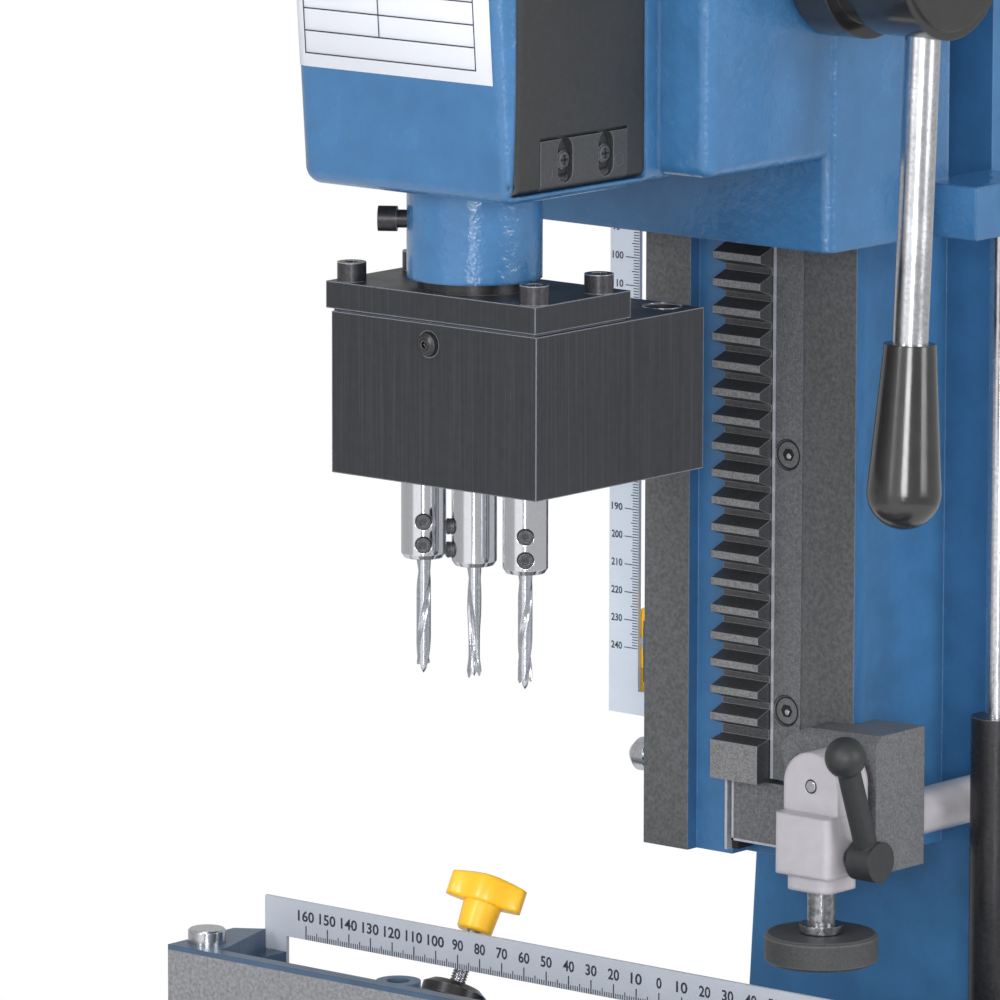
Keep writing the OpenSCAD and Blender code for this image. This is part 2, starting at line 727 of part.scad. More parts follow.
module head_casting() color(iron_blue) head_frame() {
    side = housing_width / 2;
    difference() {
        union() {
            soft_block([-side, -housing_front, housing_rise],
                [side, housing_back + 14, head_top - flange_thick], 6,
                tan(housing_draft) * (head_top - flange_thick - housing_rise - 7));
            soft_block([-case_width / 2, housing_back, case_rise],
                [case_width / 2, slide_front + 12, head_top], 5);
            translate([0, 0, slide_rise]) linear_extrude(slide_height) slide_plan();
            translate([0, 0, neck_rise]) cylinder(d = neck_d, h = chamber_floor - neck_rise);
            round_block([-flange_half, -flange_half, head_top - flange_thick],
                [flange_half, flange_half, head_top], 20);
            block([gas_x - 14, slide_back - 12, slide_rise], [gas_x + 10, gas_y + 10, slide_rise + 18]);
            block([-slide_width / 2 - 16, throat, lug_low],
                [-slide_width / 2 + cut, slide_back, lug_low + 30]);
            block([-slide_width / 2 - 16, throat, lug_low], [-slide_width / 2, lug_back, lug_low + 30]);
        }
        translate([0, 0, slide_rise - cut]) linear_extrude(slide_height + 2 * cut) slide_groove();
        round_block([-side + chamber_wall, -housing_front + chamber_wall, chamber_floor],
            [side - chamber_wall, housing_back - 3, head_top - flange_thick - 12], 6);
        door_opening();
        mirror([1, 0, 0]) door_opening();
        translate([0, 0, neck_rise - cut]) cylinder(d = neck_bore + 2 * running, h = 60);
        translate([0, 0, head_top - 60]) cylinder(d = 60, h = 60 + cut);
        round_block([-case_width / 2 + 9, housing_back + 9, case_rise + 10],
            [case_width / 2 - 9, slide_front - 8, head_top - 12], 8);
        block([way_face - way_width / 2, slide_front + 12, slide_rise + 12],
            [way_width / 2 - way_face, throat, slide_top - 12]);
        well = pinion_radius + 6;
        block([-pinion_face / 2 - 1, pinion_y - pinion_radius - rack_module - 2, feed_rise - well],
            [pinion_face / 2 + 1, throat, feed_rise + well]);
        rod_x([-slide_width, pinion_y, feed_rise], feed_shaft_d + 2 * running, 2 * slide_width);
        rotate(bolt_turn) rod_x([-side, 0, neck_bolt_z], 6.2, side);
        translate([gas_x, gas_y, slide_rise - cut]) cylinder(d = 5, h = 12);
    }
}
neck_bolt_z = 86.3;
bolt_turn = 35;                // the neck bolt's direction, from the left side towards the front

// Everything that the slide plate leaves free for column, rack and gib
module slide_groove() {
    difference() {
        translate([-way_width / 2 - gib_thick, rack_crest - 2]) square([way_width + 2 * gib_thick + 4, 60]);
        slide_plan();
        translate([-way_width, slide_back]) square([2 * way_width, 40]);
        translate([-way_width, 0]) square([way_width / 2 + gib_thick, 200]);
    }
}

// Pocket for the right door, its sill hollowed to the door's round lower edge; the left one mirrors it
module door_opening() {
    x = door_pivot_x - door_thick / 2 - seat_gap;
    front = door_y[0] - seat_gap;
    back = door_y[1] + seat_gap;
    block([x, front, door_pivot_z], [door_outer + 2 * cut, back, door_pivot_z + door_height - 2.5]);
    block([door_pivot_x, front, door_pivot_z - door_thick / 2 - seat_gap],
        [door_outer + 2 * cut, back, door_pivot_z + cut]);
    rod_y([door_pivot_x, front, door_pivot_z], door_thick + 2 * seat_gap, back - front);
    block([20, door_y[0] + 9, chamber_floor], [x + cut, door_y[1] - 5, door_pivot_z + door_height - 8]);
    rod_y([door_pivot_x, door_y[0] - pin_proud - 0.3, door_pivot_z], 3 + 2 * running,
        door_y[1] - door_y[0] + 2 * pin_proud + 0.6);
}
pin_proud = 1;                 // how far a hinge pin stands out of its door at each end

module head_gib() color(machined) head_frame() {
    half = way_width / 2 + slide_gap;
    front = throat - slide_gap / 2;
    back = slide_back;
    inset = (back - throat) * tan(30);
    translate([0, 0, slide_rise + 4]) linear_extrude(slide_height - 8)
        polygon([[half + 0.1, front], [half + gib_thick - 0.1, front], [half + gib_thick - 0.1 - inset, back],
            [half + 0.1 - inset, back]]);
}

// Access door of the right side, its front edge rounded like the housing
module door() head_frame() {
    corner = 4;
    difference() {
        intersection() {
            union() {
                block([door_outer - door_thick, door_y[0], door_pivot_z],
                    [door_outer, door_y[1], door_pivot_z + door_height - 3]);
                rod_y([door_pivot_x, door_y[0], door_pivot_z], door_thick, door_y[1] - door_y[0]);
            }
            translate([0, 0, door_pivot_z - door_thick]) linear_extrude(door_height + door_thick) union() {
                square([door_outer - corner, door_y[1] + cut]);
                translate([0, door_y[0]]) square([door_outer - corner, -door_y[0] + cut]);
                translate([0, door_y[0] + corner]) square([door_outer, door_y[1] - door_y[0] - corner]);
                translate([door_outer - corner, door_y[0] + corner]) circle(corner);
            }
        }
        block([door_outer - leaf_thick, leaf_y[0], door_pivot_z - door_thick],
            [door_outer + cut, leaf_y[1], housing_rise + leaf_height + 4]);
        rod_y([door_pivot_x, door_y[0] - cut, door_pivot_z], 3, door_y[1] - door_y[0] + 2 * cut);
        for (y = leaf_screw_y) rod_x([door_outer - 10, y, leaf_screw_z], 3.4, 20);
    }
}

// Slotted leaf in the door's lower edge, with the hinge pin that turns in the casting
module hinge_leaf() head_frame() {
    low = [door_outer - leaf_thick, leaf_y[0] + 0.2, door_pivot_z];
    high = [door_outer, leaf_y[1] - 0.2, housing_rise + leaf_height + 3];
    difference() {
        union() {
            block(low, high);
            intersection() {
                rod_y([door_pivot_x, low.y, door_pivot_z], door_thick, high.y - low.y);
                block([low.x, low.y, low.z - door_thick], [high.x, high.y, low.z + cut]);
            }
        }
        for (y = leaf_screw_y) hull() for (dz = [-3.6, 3.6])
            rod_x([door_outer - 10, y, leaf_screw_z + dz], leaf_slot, 20, $fn = 24);
    }
    rod_y([door_pivot_x, door_y[0] - pin_proud, door_pivot_z], 3, door_y[1] - door_y[0] + 2 * pin_proud);
}

module leaf_screws() head_frame() {
    for (y = leaf_screw_y) {
        rod_x([door_outer - 1.6, y, leaf_screw_z], 6.4, 1.4);
        rod_x([door_outer - door_thick, y, leaf_screw_z], 3.4, door_thick - 1);
    }
}

module right_door() color(black) door();
module left_door() color(black) mirror([1, 0, 0]) door();
module right_hinge_leaf() color(dark_iron) hinge_leaf();
module left_hinge_leaf() color(dark_iron) mirror([1, 0, 0]) hinge_leaf();
module right_leaf_screws() color(black) leaf_screws();
module left_leaf_screws() color(black) mirror([1, 0, 0]) leaf_screws();

// Motor barrel with cooling fins, stator bore and terminal box
module motor_housing() color(iron_blue) head_frame() translate([0, 0, head_top]) {
    fins = 36;
    difference() {
        union() {
            cylinder(d = motor_d - 12, h = motor_height, $fn = 96);
            for (i = [0 : fins - 1]) rotate(i * 360 / fins)
                translate([motor_d / 2 - 9, -1.25, 11]) cube([7.5, 2.5, motor_height - 22]);
            cylinder(d = motor_d, h = 12, $fn = 96);
            translate([0, 0, motor_height - 12]) cylinder(d = motor_d, h = 12, $fn = 96);
            round_block([-motor_d / 2 - 26, -38, 40], [-motor_d / 2 + 12, 38, 128], 6);
        }
        translate([0, 0, 14]) cylinder(d = 92, h = motor_height - 28);
        translate([0, 0, -cut]) cylinder(d = 35, h = motor_height + 2 * cut);
    }
}

module fan_cover() color(black) head_frame() translate([0, 0, motor_top]) {
    outer = motor_d + 4;
    difference() {
        union() {
            cylinder(d = outer, h = fan_cover_height - 8, $fn = 96);
            translate([0, 0, fan_cover_height - 8]) cylinder(d1 = outer, d2 = outer - 24, h = 8, $fn = 96);
        }
        translate([0, 0, -cut]) cylinder(d = outer - 6, h = fan_cover_height - 9 + cut, $fn = 96);
        for (i = [0 : 15]) rotate(i * 22.5) translate([20, -3, 0]) cube([34, 6, 2 * fan_cover_height]);
    }
}

module ring(d_out, d_in, h) difference() {
    cylinder(d = d_out, h = h);
    translate([0, 0, -cut]) cylinder(d = d_in, h = h + 2 * cut);
}

module spindles_at() for (i = [-1 : 1]) translate([i * spindle_pitch, 0, 0]) children();

// Motor bearings, and the plain bushes in which the spindles run
module bearings() color([0.72, 0.62, 0.42]) head_frame() {
    for (z = [head_top + 1, motor_top - 12])
        translate([0, 0, z]) ring(35, motor_shaft_d + 2 * running, 11);
    spindles_at() {
        translate([0, 0, bush_low]) ring(spindle_d + 2 * bush_wall, spindle_d + 2 * running, bush_length);
        translate([0, 0, gearbox_tall + 0.5])
            ring(journal_d + 2 * bush_wall, journal_d + 2 * running, top_bush_length);
    }
}

// Flanged bush that the neck clamps and the gearbox hangs from
module mounting_bush() color(black) head_frame() difference() {
    union() {
        translate([0, 0, lid_top]) cylinder(d = 38, h = neck_rise - lid_top);
        translate([0, 0, lid_top]) cylinder(d = neck_bore, h = 30);
    }
    translate([0, 0, lid_top - cut]) cylinder(d = 17, h = 40);
    rotate(bolt_turn) rod_x([-20, 0, neck_bolt_z], 6, 8);
}

module neck_bolt() color(black) head_frame() rotate(bolt_turn)
    translate([-neck_d / 2 - 3.1, 0, neck_bolt_z]) rotate([0, -90, 0]) cap_screw(6, 8.4, 6.3, 9.4);

module gearbox_body() color(black) head_frame() {
    half = gearbox_width / 2;
    difference() {
        block([-half, -gearbox_front, 0], [half, gearbox_back, gearbox_tall]);
        round_block([-spindle_pitch - 13.5, -13.5, cavity_floor],
            [spindle_pitch + 13.5, 13.5, gearbox_tall + cut], 13);
        spindles_at() translate([0, 0, -cut]) cylinder(d = spindle_d + 2, h = 20);
        spindles_at() translate([0, 0, bush_low]) cylinder(d = spindle_d + 2 * bush_wall, h = 20);
        for (x = lid_screw_x, y = lid_screw_y)
            translate([x, y, gearbox_tall - 20]) cylinder(d = 6, h = 21);
        translate([32.5, 58, gearbox_tall - 22]) cylinder(d = 12.5, h = 23);
        rod_y([-2, -gearbox_front - cut, 47.2], 4.4, 8);
        rod_y([-2, -gearbox_front - cut, 47.2], 8.6, cut + 0.8);
    }
}

module gearbox_lid() color(black) head_frame() {
    low = [lid_shift - lid_width / 2, -gearbox_front, gearbox_tall];
    high = [lid_shift + lid_width / 2, lid_depth - gearbox_front, lid_top];
    difference() {
        union() {
            block([low.x, low.y, low.z + lid_rim], high);
            block([low.x + 2.5, low.y + 1.2, low.z], [high.x - 1.5, high.y - 1.2, low.z + lid_rim + cut]);
        }
        for (i = [-1, 1]) translate([i * spindle_pitch, 0, gearbox_tall - cut])
            cylinder(d = journal_d + 2 * bush_wall, h = top_bush_length + 1.5);
        translate([0, 0, gearbox_tall - cut])
            cylinder(d = journal_d + 2 * bush_wall, h = lid_thick + 2 * cut);
        for (x = lid_screw_x, y = lid_screw_y)
            translate([x, y, gearbox_tall - cut]) cylinder(d = 6.2, h = lid_thick + 2 * cut);
    }
}

module lid_screws() color(dark_iron) head_frame() {
    for (x = lid_screw_x, y = lid_screw_y)
        translate([x, y, lid_top]) cap_screw(5.8, 9.7, 6.4, lid_thick + 8);
}

// Solid rotor with its shaft, which reaches down into the chuck
module motor_rotor() color(steel) head_frame() {
    shaft_low = chuck_low + chuck_height - 12;
    translate([0, 0, shaft_low]) cylinder(d = motor_shaft_d, h = motor_top + 30 - shaft_low);
    translate([0, 0, head_top + 35]) cylinder(d = 90, h = motor_height - 70);
    translate([0, 0, chuck_low + chuck_height]) cylinder(d = 24, h = 6);
}

module cooling_fan() color(black) head_frame() translate([0, 0, motor_top + 12]) {
    difference() {
        union() {
            cylinder(d = 34, h = 16);
            cylinder(d = 116, h = 2.5);
            for (i = [0 : 7]) rotate(i * 45) translate([12, -1.5, 0]) cube([44, 3, 16]);
        }
        translate([0, 0, -cut]) cylinder(d = motor_shaft_d, h = 20);
    }
}

// Keyed chuck: body, sleeve and a bore for the head's drive shank
module drill_chuck() color(steel) head_frame() translate([0, 0, chuck_low]) {
    difference() {
        union() {
            cylinder(d1 = chuck_d * 0.5, d2 = chuck_d * 0.86, h = 10);
            translate([0, 0, 10]) cylinder(d = chuck_d, h = 18);
            translate([0, 0, 28]) cylinder(d = chuck_d * 0.88, h = chuck_height - 28);
        }
        translate([0, 0, -cut]) cylinder(d = journal_d, h = 21 + cut);
        translate([0, 0, chuck_height - 12]) cylinder(d = motor_shaft_d, h = 13);
    }
}

// Spindle with its own gear; facing is the direction that its two set screws point in
module spindle(x, turn, top, facing) color(steel) head_frame() translate([x, 0, 0]) {
    difference() {
        union() {
            translate([0, 0, 1.5 - spindle_drop]) cylinder(d = spindle_d, h = gear_low + spindle_drop - 1.5);
            translate([0, 0, -spindle_drop]) cylinder(d1 = spindle_d - 2, d2 = spindle_d, h = 1.5);
            translate([0, 0, gear_low]) rotate(turn) linear_extrude(gear_face)
                gear_outline(gear_module, gear_teeth, 0.12);
            translate([0, 0, gear_low]) cylinder(d = journal_d, h = top - gear_low);
            translate([0, 0, gear_low + gear_face])
                cylinder(d = journal_d + 4, h = gearbox_tall - gear_low - gear_face - 1);
        }
        translate([0, 0, -spindle_drop - cut]) cylinder(d = bit_d, h = 26 + cut);
        for (z = set_screw_z) translate([0, 0, z]) rotate([0, 90, facing])
            cylinder(d = set_screw_d, h = spindle_d);
    }
}

module middle_spindle() spindle(0, 0, shank_top, 230);
module left_spindle() spindle(-spindle_pitch, gear_turn, gearbox_tall + top_bush_length, 310);
module right_spindle() spindle(spindle_pitch, gear_turn, gearbox_tall + top_bush_length, 310);

// Brad-point bit with a relieved fluted length; hand is 1 for a right-hand twist and -1 for left
module drill_bit(x, hand) color(steel) head_frame() translate([x, 0, 0]) {
    shank_end = -spindle_drop - 6;
    flute = bit_drop - 4 + shank_end;
    translate([0, 0, shank_end]) cylinder(d = bit_d, h = 6 + 25);
    translate([0, 0, -bit_drop + 4]) linear_extrude(flute + 0.5, twist = -hand * 250, slices = 28)
        bit_section();
    translate([0, 0, -bit_drop]) cylinder(d1 = 0.4, d2 = bit_d * 0.5, h = 4.1, $fn = 16);
    translate([0, 0, -bit_drop + 2.6]) cylinder(d1 = bit_d * 0.72, d2 = bit_d * 0.9, h = 1.8, $fn = 16);
}

// Two-flute cross-section of a bit
module bit_section() difference() {
    circle(d = bit_d, $fn = 24);
    for (s = [-1, 1]) translate([s * bit_d * 0.46, 0]) circle(d = bit_d * 0.62, $fn = 16);
}

module middle_bit() drill_bit(0, 1);
module left_bit() drill_bit(-spindle_pitch, -1);
module right_bit() drill_bit(spindle_pitch, -1);

module feed_shaft() color(machined) head_frame() translate([0, pinion_y, feed_rise]) {
    rod_x([-slide_width / 2 - 7, 0, 0], feed_shaft_d, slide_width + 7 + feed_hub_length - 6);
    rod_x([-slide_width / 2 - 7, 0, 0], feed_shaft_d + 10, 6.5);
    translate([-pinion_face / 2, 0, 0]) rotate([pinion_phase, 0, 0]) rotate([90, 0, 90])
        linear_extrude(pinion_face) gear_outline(rack_module, pinion_teeth, 0.25);
}

module feed_hub() color(black) head_frame() translate([0, pinion_y, feed_rise]) {
    difference() {
        union() {
            rod_x([hub_left, 0, 0], feed_hub_d - 10, feed_hub_length);
            rod_x([hub_left, 0, 0], feed_hub_d, 14);
            rod_x([spoke_x - 13, 0, 0], feed_hub_d - 4, 24);
        }
        rod_x([hub_left - cut, 0, 0], feed_shaft_d, feed_hub_length - 7 + cut);
        spokes_turned() translate([0, 0, feed_hub_d / 2 - 15]) cylinder(d = spoke_d, h = 30);
    }
}

// Turns a piece that is drawn along +Z into each spoke's direction; 0 degrees is forwards, 90 is up
module spokes_turned() for (a = spoke_angles) translate([spoke_x, 0, 0]) rotate([90 - a, 0, 0]) children();

module feed_spokes() color(steel) head_frame() translate([0, pinion_y, feed_rise]) {
    spokes_turned() translate([0, 0, feed_hub_d / 2 - 15])
        cylinder(d = spoke_d, h = spoke_reach - feed_hub_d / 2 + 7);
}

module spoke_grips() color(black) head_frame() translate([0, pinion_y, feed_rise]) {
    length = 62;
    spokes_turned() translate([0, 0, spoke_reach - length]) difference() {
        union() {
            cylinder(d1 = grip_d * 0.7, d2 = grip_d, h = length - grip_d / 2 + 0.1);
            translate([0, 0, length - grip_d / 2]) sphere(d = grip_d);
        }
        translate([0, 0, -cut]) cylinder(d = spoke_d, h = length - 8 + cut);
    }
}

// Block that the head's lug comes down on, with a forked strap round the knob's screw
module depth_stop() color(dark_iron) head_frame() {
    difference() {
        union() {
            block([strap_left, stop_face - 2.2, -stop_drop - 5],
                [-slide_width / 2 + 6, stop_face, -stop_drop + 5]);
            block([stop_left, stop_face - 12, -stop_drop - 12],
                [-slide_width / 2 + 6, stop_face, -stop_drop + 10]);
        }
        rod_y([scale_slot_x, stop_face - 13, -stop_drop], 4, 14);
    }
}

// Wing knob drawn along +Z: screw, round stem and a wing of the given length and height
module wing_knob(wing, wing_h, stem, hub_d, screw_d, screw_length) {
    translate([0, 0, -screw_length]) cylinder(d = screw_d, h = screw_length + cut);
    cylinder(d1 = hub_d - 1, d2 = hub_d, h = stem);
    translate([0, 0, stem - 0.5]) linear_extrude(wing_h + 0.5) wing_plan(wing, hub_d);
}

// Plan of the wing: its middle as wide as the hub, its round ends narrower
module wing_plan(wing, hub_d) {
    end = wing / 2 - 3;
    wide = hub_d / 2;
    polygon([[-end, -3], [-wide, -wide + 1], [0, -wide], [wide, -wide + 1], [end, -3],
        [end, 3], [wide, wide - 1], [0, wide], [-wide, wide - 1], [-end, 3]]);
    for (s = [-1, 1]) translate([s * end, 0]) circle(r = 3);
}

module depth_knob() color(yellow) head_frame()
    translate([scale_slot_x, scale_y + scale_sheet + seat_gap, -stop_drop]) rotate([-90, 0, 0])
        rotate(28) wing_knob(54, 10, 4, 25, 3.9, 5);

// Off-white sleeve of the hold-down: round-topped tab over a square body, with the bar the bracket guides
module clamp_housing() color([0.80, 0.78, 0.80]) head_frame() {
    half = clamp_body / 2;
    lip = half - 2.4;
    tab_back = clamp_y + half - 1.8;
    difference() {
        union() {
            round_block([clamp_x - half, clamp_y - half, clamp_base],
                [clamp_x + half, clamp_y + half, clamp_step], 2.5);
            round_block([clamp_x - lip, clamp_y - lip, clamp_lip],
                [clamp_x + lip, clamp_y + lip, clamp_base + cut], 4.5);
            rod_y([clamp_x, tab_front, tab_pin_z], clamp_tab, tab_back - tab_front);
            block([clamp_x - clamp_tab / 2, tab_front, clamp_step - 1],
                [clamp_x + clamp_tab / 2, tab_back, tab_pin_z]);
            rod_y([clamp_x, clamp_y, clamp_bar_z], clamp_bar_d, body_front - 3 - clamp_y);
        }
        translate([clamp_x, clamp_y, clamp_lip - cut])
            cylinder(d = clamp_rod_d + 2 * running, h = clamp_bore_top - clamp_lip + cut);
        rod_y([clamp_x, tab_front - cut, tab_pin_z], 4.2, clamp_y + half - tab_front + 2 * cut);
        rod_x([clamp_x + 1, clamp_y, clamp_screw_z], 6 + 2 * running, 18);
    }
}

// Rod of the hold-down, its upper end hidden in the sleeve, with a collar above the foot
module clamp_rod() color(machined) head_frame() translate([clamp_x, clamp_y, 0]) {
    translate([0, 0, foot_top + 3]) cylinder(d = clamp_rod_d, h = clamp_bore_top - 0.5 - foot_top - 3);
    translate([0, 0, foot_top + 0.3]) cylinder(d = 15, h = 2.8);
    translate([0, 0, foot_top - 5]) cylinder(d = 8, h = 10);
}

module clamp_foot() color(dark_iron) head_frame() translate([clamp_x, clamp_y, foot_top - clamp_foot_thick]) {
    difference() {
        union() {
            cylinder(d1 = clamp_foot_d - 2, d2 = clamp_foot_d, h = 1);
            translate([0, 0, 1]) cylinder(d = clamp_foot_d, h = clamp_foot_thick - 2);
            translate([0, 0, clamp_foot_thick - 1]) cylinder(d1 = clamp_foot_d, d2 = clamp_foot_d - 2, h = 1);
        }
        translate([0, 0, clamp_foot_thick - 5]) cylinder(d = 8 + 2 * running, h = 6);
    }
}

// Lever whose screw locks the hold-down's rod in its sleeve
module clamp_lever() color(black) head_frame() {
    start = [clamp_x + clamp_body / 2 - 5.5, clamp_y, clamp_screw_z];
    rod_x(start, 6, 16);
    rod_x(start + [9, 0, 0], 14, 10);
    translate(start + [14, 0, 0]) rotate([20, 0, 0]) {
        cylinder(d = 8, h = 40);
        translate([0, 0, 40]) sphere(d = 14);
    }
}

// Cross slide: front-to-back dovetail groove below, side-to-side dovetail above
module saddle() color(iron_blue) head_frame() {
    half_x = saddle_length / 2;
    half_y = 78;
    groove = y_way_width + 2 * slide_gap;
    difference() {
        union() {
            block([-66, table_y - half_y, saddle_low], [66, table_y + half_y, saddle_high]);
            for (s = [-1, 1]) block([min(s * 30, s * 66), table_y - half_y, knee_high + 1],
                [max(s * 30, s * 66), table_y + half_y, saddle_low + cut]);
            block([-half_x, table_y - 46, saddle_high - 16], [half_x, table_y + 46, saddle_high]);
            translate([-half_x, table_y, table_low]) rotate([90, 0, 90]) linear_extrude(saddle_length)
                mirror([0, 1]) dovetail(x_way_width, dovetail_height + cut);
        }
        translate([0, table_y - half_y - cut, saddle_low + slide_gap]) rotate([-90, 0, 0])
            linear_extrude(2 * half_y + 2 * cut) dovetail(groove, dovetail_height + 2);
        block([-half_x - cut, table_y - screw_channel / 2, x_screw_z - screw_channel / 2],
            [half_x + cut, table_y + screw_channel / 2, table_low + cut]);
    }
    translate([0, table_y, 0]) difference() {
        block([-screw_channel / 2 + 1, -14, y_screw_z - screw_channel / 2 + 1],
            [screw_channel / 2 - 1, 14, saddle_low + 2]);
        rod_y([0, -15, y_screw_z], lead_screw_d + 2 * running, 30);
    }
    difference() {
        block([-16, table_y - screw_channel / 2 - cut, saddle_high - 2],
            [16, table_y + screw_channel / 2 + cut, table_low - 1]);
        rod_x([-17, table_y, x_screw_z], lead_screw_d + 2 * running, 34);
    }
}

// Work table, with the dovetail groove that runs on the saddle
module table() color(machined) head_frame() {
    half = table_length / 2;
    groove = x_way_width + 2 * slide_gap;
    low_y = table_y - table_width / 2;
    difference() {
        union() {
            round_block([-half, low_y, table_low], [half, low_y + table_width, -table_drop], 8);
            block([-half + 20, table_y - 62, saddle_high + 1], [half - 20, table_y + 62, table_low + cut]);
        }
        translate([-half - cut, table_y, table_low + slide_gap]) rotate([90, 0, 90])
            linear_extrude(table_length + 2 * cut) mirror([0, 1]) dovetail(groove, dovetail_height + 2);
        rod_x([half - 21, table_y, x_screw_z], lead_screw_d + 2 * running, 30);
        t_slot();
    }
    difference() {
        block([half - 18, table_y - 20, saddle_high + 1], [half - 2, table_y + 20, table_low]);
        rod_x([half - 21, table_y, x_screw_z], lead_screw_d + 2 * running, 30);
    }
}

module t_slot() {
    y = table_y - table_width / 2 + 28;
    block([-table_length, y - 6, -table_drop - 9], [table_length, y + 6, -table_drop + cut]);
    block([-table_length, y - 10, -table_drop - 16], [table_length, y + 10, -table_drop - 8]);
}

module x_screw() color(steel) head_frame() {
    half = table_length / 2;
    rod_x([-half + 40, table_y, x_screw_z], lead_screw_d, table_length - 40 + 34);
}

module y_screw() color(steel) head_frame()
    rod_y([0, knee_front - y_wheel_gap - 14.5, y_screw_z], lead_screw_d,
        table_y + 88 - knee_front + y_wheel_gap + 14.5);

// Spoked handwheel drawn along +Z with its revolving handle
module handwheel() {
    rim = 12;
    difference() {
        union() {
            rotate_extrude($fn = 96) translate([wheel_d / 2 - rim / 2, wheel_thick / 2])
                circle(d = rim, $fn = 24);
            cylinder(d = wheel_hub_d, h = wheel_thick + 6);
            for (a = [0, 120, 240]) rotate(a) translate([wheel_hub_d / 2 - 3, -6, wheel_thick / 2 - 3])
                cube([wheel_d / 2 - rim / 2 - wheel_hub_d / 2 + 3, 12, 6]);
        }
        translate([0, 0, -cut]) cylinder(d = lead_screw_d, h = wheel_thick);
    }
    rotate(60) translate([wheel_d / 2 - rim / 2, 0, wheel_thick / 2 + 3]) {
        cylinder(d = 7, h = 14);
        translate([0, 0, 8]) cylinder(d1 = 14, d2 = 20, h = 44);
        translate([0, 0, 52]) sphere(d = 20);
    }
}

module x_wheel() color(black) head_frame()
    translate([table_length / 2 + 19.5, table_y, x_screw_z]) rotate([0, 90, 0]) handwheel();

module y_wheel() color(black) head_frame()
    translate([0, knee_front - y_wheel_gap, y_screw_z]) rotate([90, 0, 0]) handwheel();

// Fence: tall machined face, end bosses for its pins, ribs and a foot on the table
module fence() color(iron_blue) head_frame() {
    half = fence_length / 2;
    top = -fence_drop;
    face = fence_setback;
    difference() {
        union() {
            block([-half, face, fence_floor], [half, face + fence_wall, top]);
            block([-half, face, fence_floor], [half, face + 58, fence_floor + 12]);
            for (m = [0, 1]) mirror([m, 0, 0]) translate([0, 0, fence_floor])
                linear_extrude(top - fence_floor)
                    polygon([[half, face], [half, face + 34.5], [half - 9.5, face + 40.8],
                        [half - 19.5, face + 9.3], [half - 19.5, face]]);
            for (x = [-110, 0, 110]) translate([x - 4, 0, 0]) rotate([90, 0, 90]) linear_extrude(8)
                polygon([[face, fence_floor], [face + 56, fence_floor], [face + 50, ruler_shelf - 20],
                    [face + fence_wall, ruler_shelf - 4]]);
            for (s = [-1, 1]) translate([s * 82.4, face + 9.6, fence_floor])
                cylinder(d = 15.6, h = top - fence_floor);
            for (s = [-1, 1]) block([s * (ruler_length / 2 - ruler_leg / 2) - 5, face, fence_floor],
                [s * (ruler_length / 2 - ruler_leg / 2) + 5, ruler_setback, ruler_shelf + 7]);
            block([knob_x - 14, face, fence_floor], [knob_x + 14, knob_y - 1, knob_z - 16]);
            block([knob_x - 12, knob_y - 30, fence_floor], [knob_x + 12, knob_y + 5, knob_z - 9]);
        }
        for (s = [-1, 1]) {
            translate([s * pin_x, pin_y, fence_floor + 20]) cylinder(d = pin_d, h = top - fence_floor);
            translate([s * 82.4, face + 9.6, top - 20]) cylinder(d = 8, h = 21);
            rod_y([s * (ruler_length / 2 - ruler_leg / 2), ruler_setback - 8, ruler_shelf + 3.5], 3, 9);
        }
        knob_axis() cylinder(d = knob_boss_d + 2 * seat_gap, h = 60);
        knob_axis() translate([0, 0, -12]) cylinder(d = 6 + 2 * running, h = 20);
    }
}

// Inclined axis of the clamping knob, from the seat of its boss
module knob_axis() translate([knob_x, knob_y, knob_z]) rotate([-knob_tilt, 0, 0]) translate([0, 0, -8])
    children();

module ruler() color(pale_sheet) head_frame() {
    half = ruler_length / 2;
    low = -ruler_drop - ruler_height;
    difference() {
        union() {
            block([-half, ruler_setback, low], [half, ruler_setback + scale_sheet, -ruler_drop]);
            for (s = [-1, 1]) block([min(s * half, s * (half - ruler_leg)), ruler_setback, ruler_shelf - 4],
                [max(s * half, s * (half - ruler_leg)), ruler_setback + scale_sheet, low + cut]);
        }
        for (s = [-1, 1]) rod_y([s * (half - ruler_leg / 2), ruler_setback - cut, ruler_shelf + 3.5], 3.4, 4);
    }
}

module fence_pins() color(steel) head_frame() {
    for (s = [-1, 1]) translate([s * pin_x, pin_y, fence_floor + 20]) {
        cylinder(d = pin_d, h = 58 + 4.4);
        translate([0, 0, 62.4]) cylinder(d1 = pin_d, d2 = pin_d - 1.2, h = 0.6);
    }
}

module knob_boss() color(black) head_frame() knob_axis() difference() {
    union() {
        cylinder(d = knob_boss_d, h = 3.5);
        translate([0, 0, 3.5]) cylinder(d1 = knob_boss_d, d2 = knob_boss_d - 6, h = 2);
    }
    translate([0, 0, -cut]) cylinder(d = 6 + 2 * running, h = 12);
}

module stop_knob() color(yellow) head_frame() knob_axis()
    translate([0, 0, knob_seat]) rotate(32) wing_knob(28, 11, 9.5, 13.8, 6, 30);

